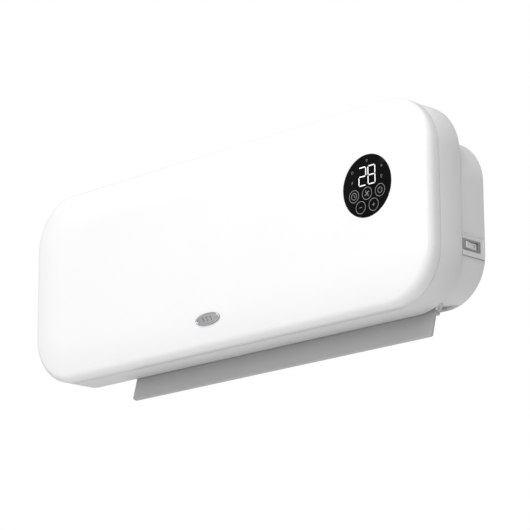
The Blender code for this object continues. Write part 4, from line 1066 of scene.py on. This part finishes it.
def studio():
    """White surroundings as the camera sees them, a softer fill on the object, and large lamps."""
    world = bpy.data.worlds.new("studio")
    world.use_nodes = True
    bpy.context.scene.world = world
    nodes = world.node_tree.nodes
    links = world.node_tree.links
    seen = nodes.new("ShaderNodeLightPath")
    white = nodes.new("ShaderNodeBackground")
    white.inputs["Color"].default_value = (1, 1, 1, 1)
    white.inputs["Strength"].default_value = 1.0
    fill = nodes["Background"]
    fill.inputs["Color"].default_value = (1, 1, 1, 1)
    fill.inputs["Strength"].default_value = FILL
    mix = nodes.new("ShaderNodeMixShader")
    links.new(seen.outputs["Is Camera Ray"], mix.inputs["Fac"])
    links.new(fill.outputs["Background"], mix.inputs[1])
    links.new(white.outputs["Background"], mix.inputs[2])
    links.new(mix.outputs["Shader"], nodes["World Output"].inputs["Surface"])
    for lamp in LAMPS:
        area_light(*lamp)


def camera():
    data = bpy.data.cameras.new("camera")
    data.lens = CAMERA_LENS
    data.sensor_width = SENSOR
    made = bpy.data.objects.new("camera", data)
    made.location = CAMERA_PLACE
    made.rotation_euler = Euler([math.radians(turn) for turn in CAMERA_TURN])
    bpy.context.scene.collection.objects.link(made)
    bpy.context.scene.camera = made


# ---- finish of the CAD nodes that stay ----
def dress(looks):
    for names, look in looks:
        for name in names:
            node = frame["nodes"][name]
            node.data.materials.clear()
            node.data.materials.append(look)


def main():
    white = gloss_white()
    satin = satin_white()
    grey = grey_moulding()
    dark = dark_moulding()
    steel = zinc_steel()
    metal = aluminium()
    tinned = tinned_brass()
    black_rubber = rubber()
    board = circuit_board()
    stone = ceramic()
    front_panel(white)
    front_rim(satin)
    rear_case(satin)
    display_glass()
    display_figures()
    key_marks()
    status_marks()
    badge_plate()
    # The flap's white moulding is darkened from 0.74 to 0.47 as painted shade for the shadow the body casts
    # on it.
    louvre(satin_white("louvre_white_painted_shade", 0.47))
    refined("switch_bezel", "switch_plate", satin, "housing", "white_satin", 0.00015)
    shell = dark_moulding("switch_grey", 0.30)
    refined("switch_body", "switch_shell", shell, "housing", "dark_plastic", 0.00025)
    refined("switch_rocker", "rocker", gloss_white("rocker_white", 0.8), "rocker", "white_gloss", 0.0003)
    rocker_marks()
    # Dark strip round the switch plate: painted shadow gap between plate and casing.
    switch_painted_shadow_gap(dark_moulding("painted_shadow_gap_grey", 0.34))
    refined("inlet_grille", "inlet_vent", satin, "housing", "white_satin", 0.0004)
    refined("wall_bracket", "hanging_plate", steel, "housing", "zinc_steel", 0.00025)
    dress(
        [
            (("duct_front", "duct_rear", "duct_end_left", "duct_end_right", "outlet_grille"), grey),
            (("transformer", "terminal_block"), grey),
            (("relay_1", "relay_2", "capacitor", "buzzer", "infrared_receiver", "thermal_cutout"), dark),
            (("digit_module",), dark),
            (("motor_bracket", "fan_motor", "impeller_shaft", "louvre_motor"), steel),
            ([f"case_screw_{n}" for n in range(1, 5)] + [f"touch_spring_{n}" for n in range(1, 6)], steel),
            (("impeller", "heater_core"), metal),
            (("switch_tab_1", "switch_tab_2", "heater_terminal_1", "heater_terminal_2"), tinned),
            (("end_bearing",), tinned),
            (("bumper_left", "bumper_right", "cable_gland"), black_rubber),
            (("motor_ring_left", "motor_ring_right", "bearing_seat"), black_rubber),
            (("control_board", "display_board"), board),
            (("heater_holder_left", "heater_holder_right", "thermal_fuse"), stone),
            (("flap_ear_left", "flap_ear_right", "louvre_crank", "louvre_link"), satin),
        ]
    )
    floor()
    studio()
    camera()
    bpy.context.scene.view_settings.view_transform = "Standard"


main()
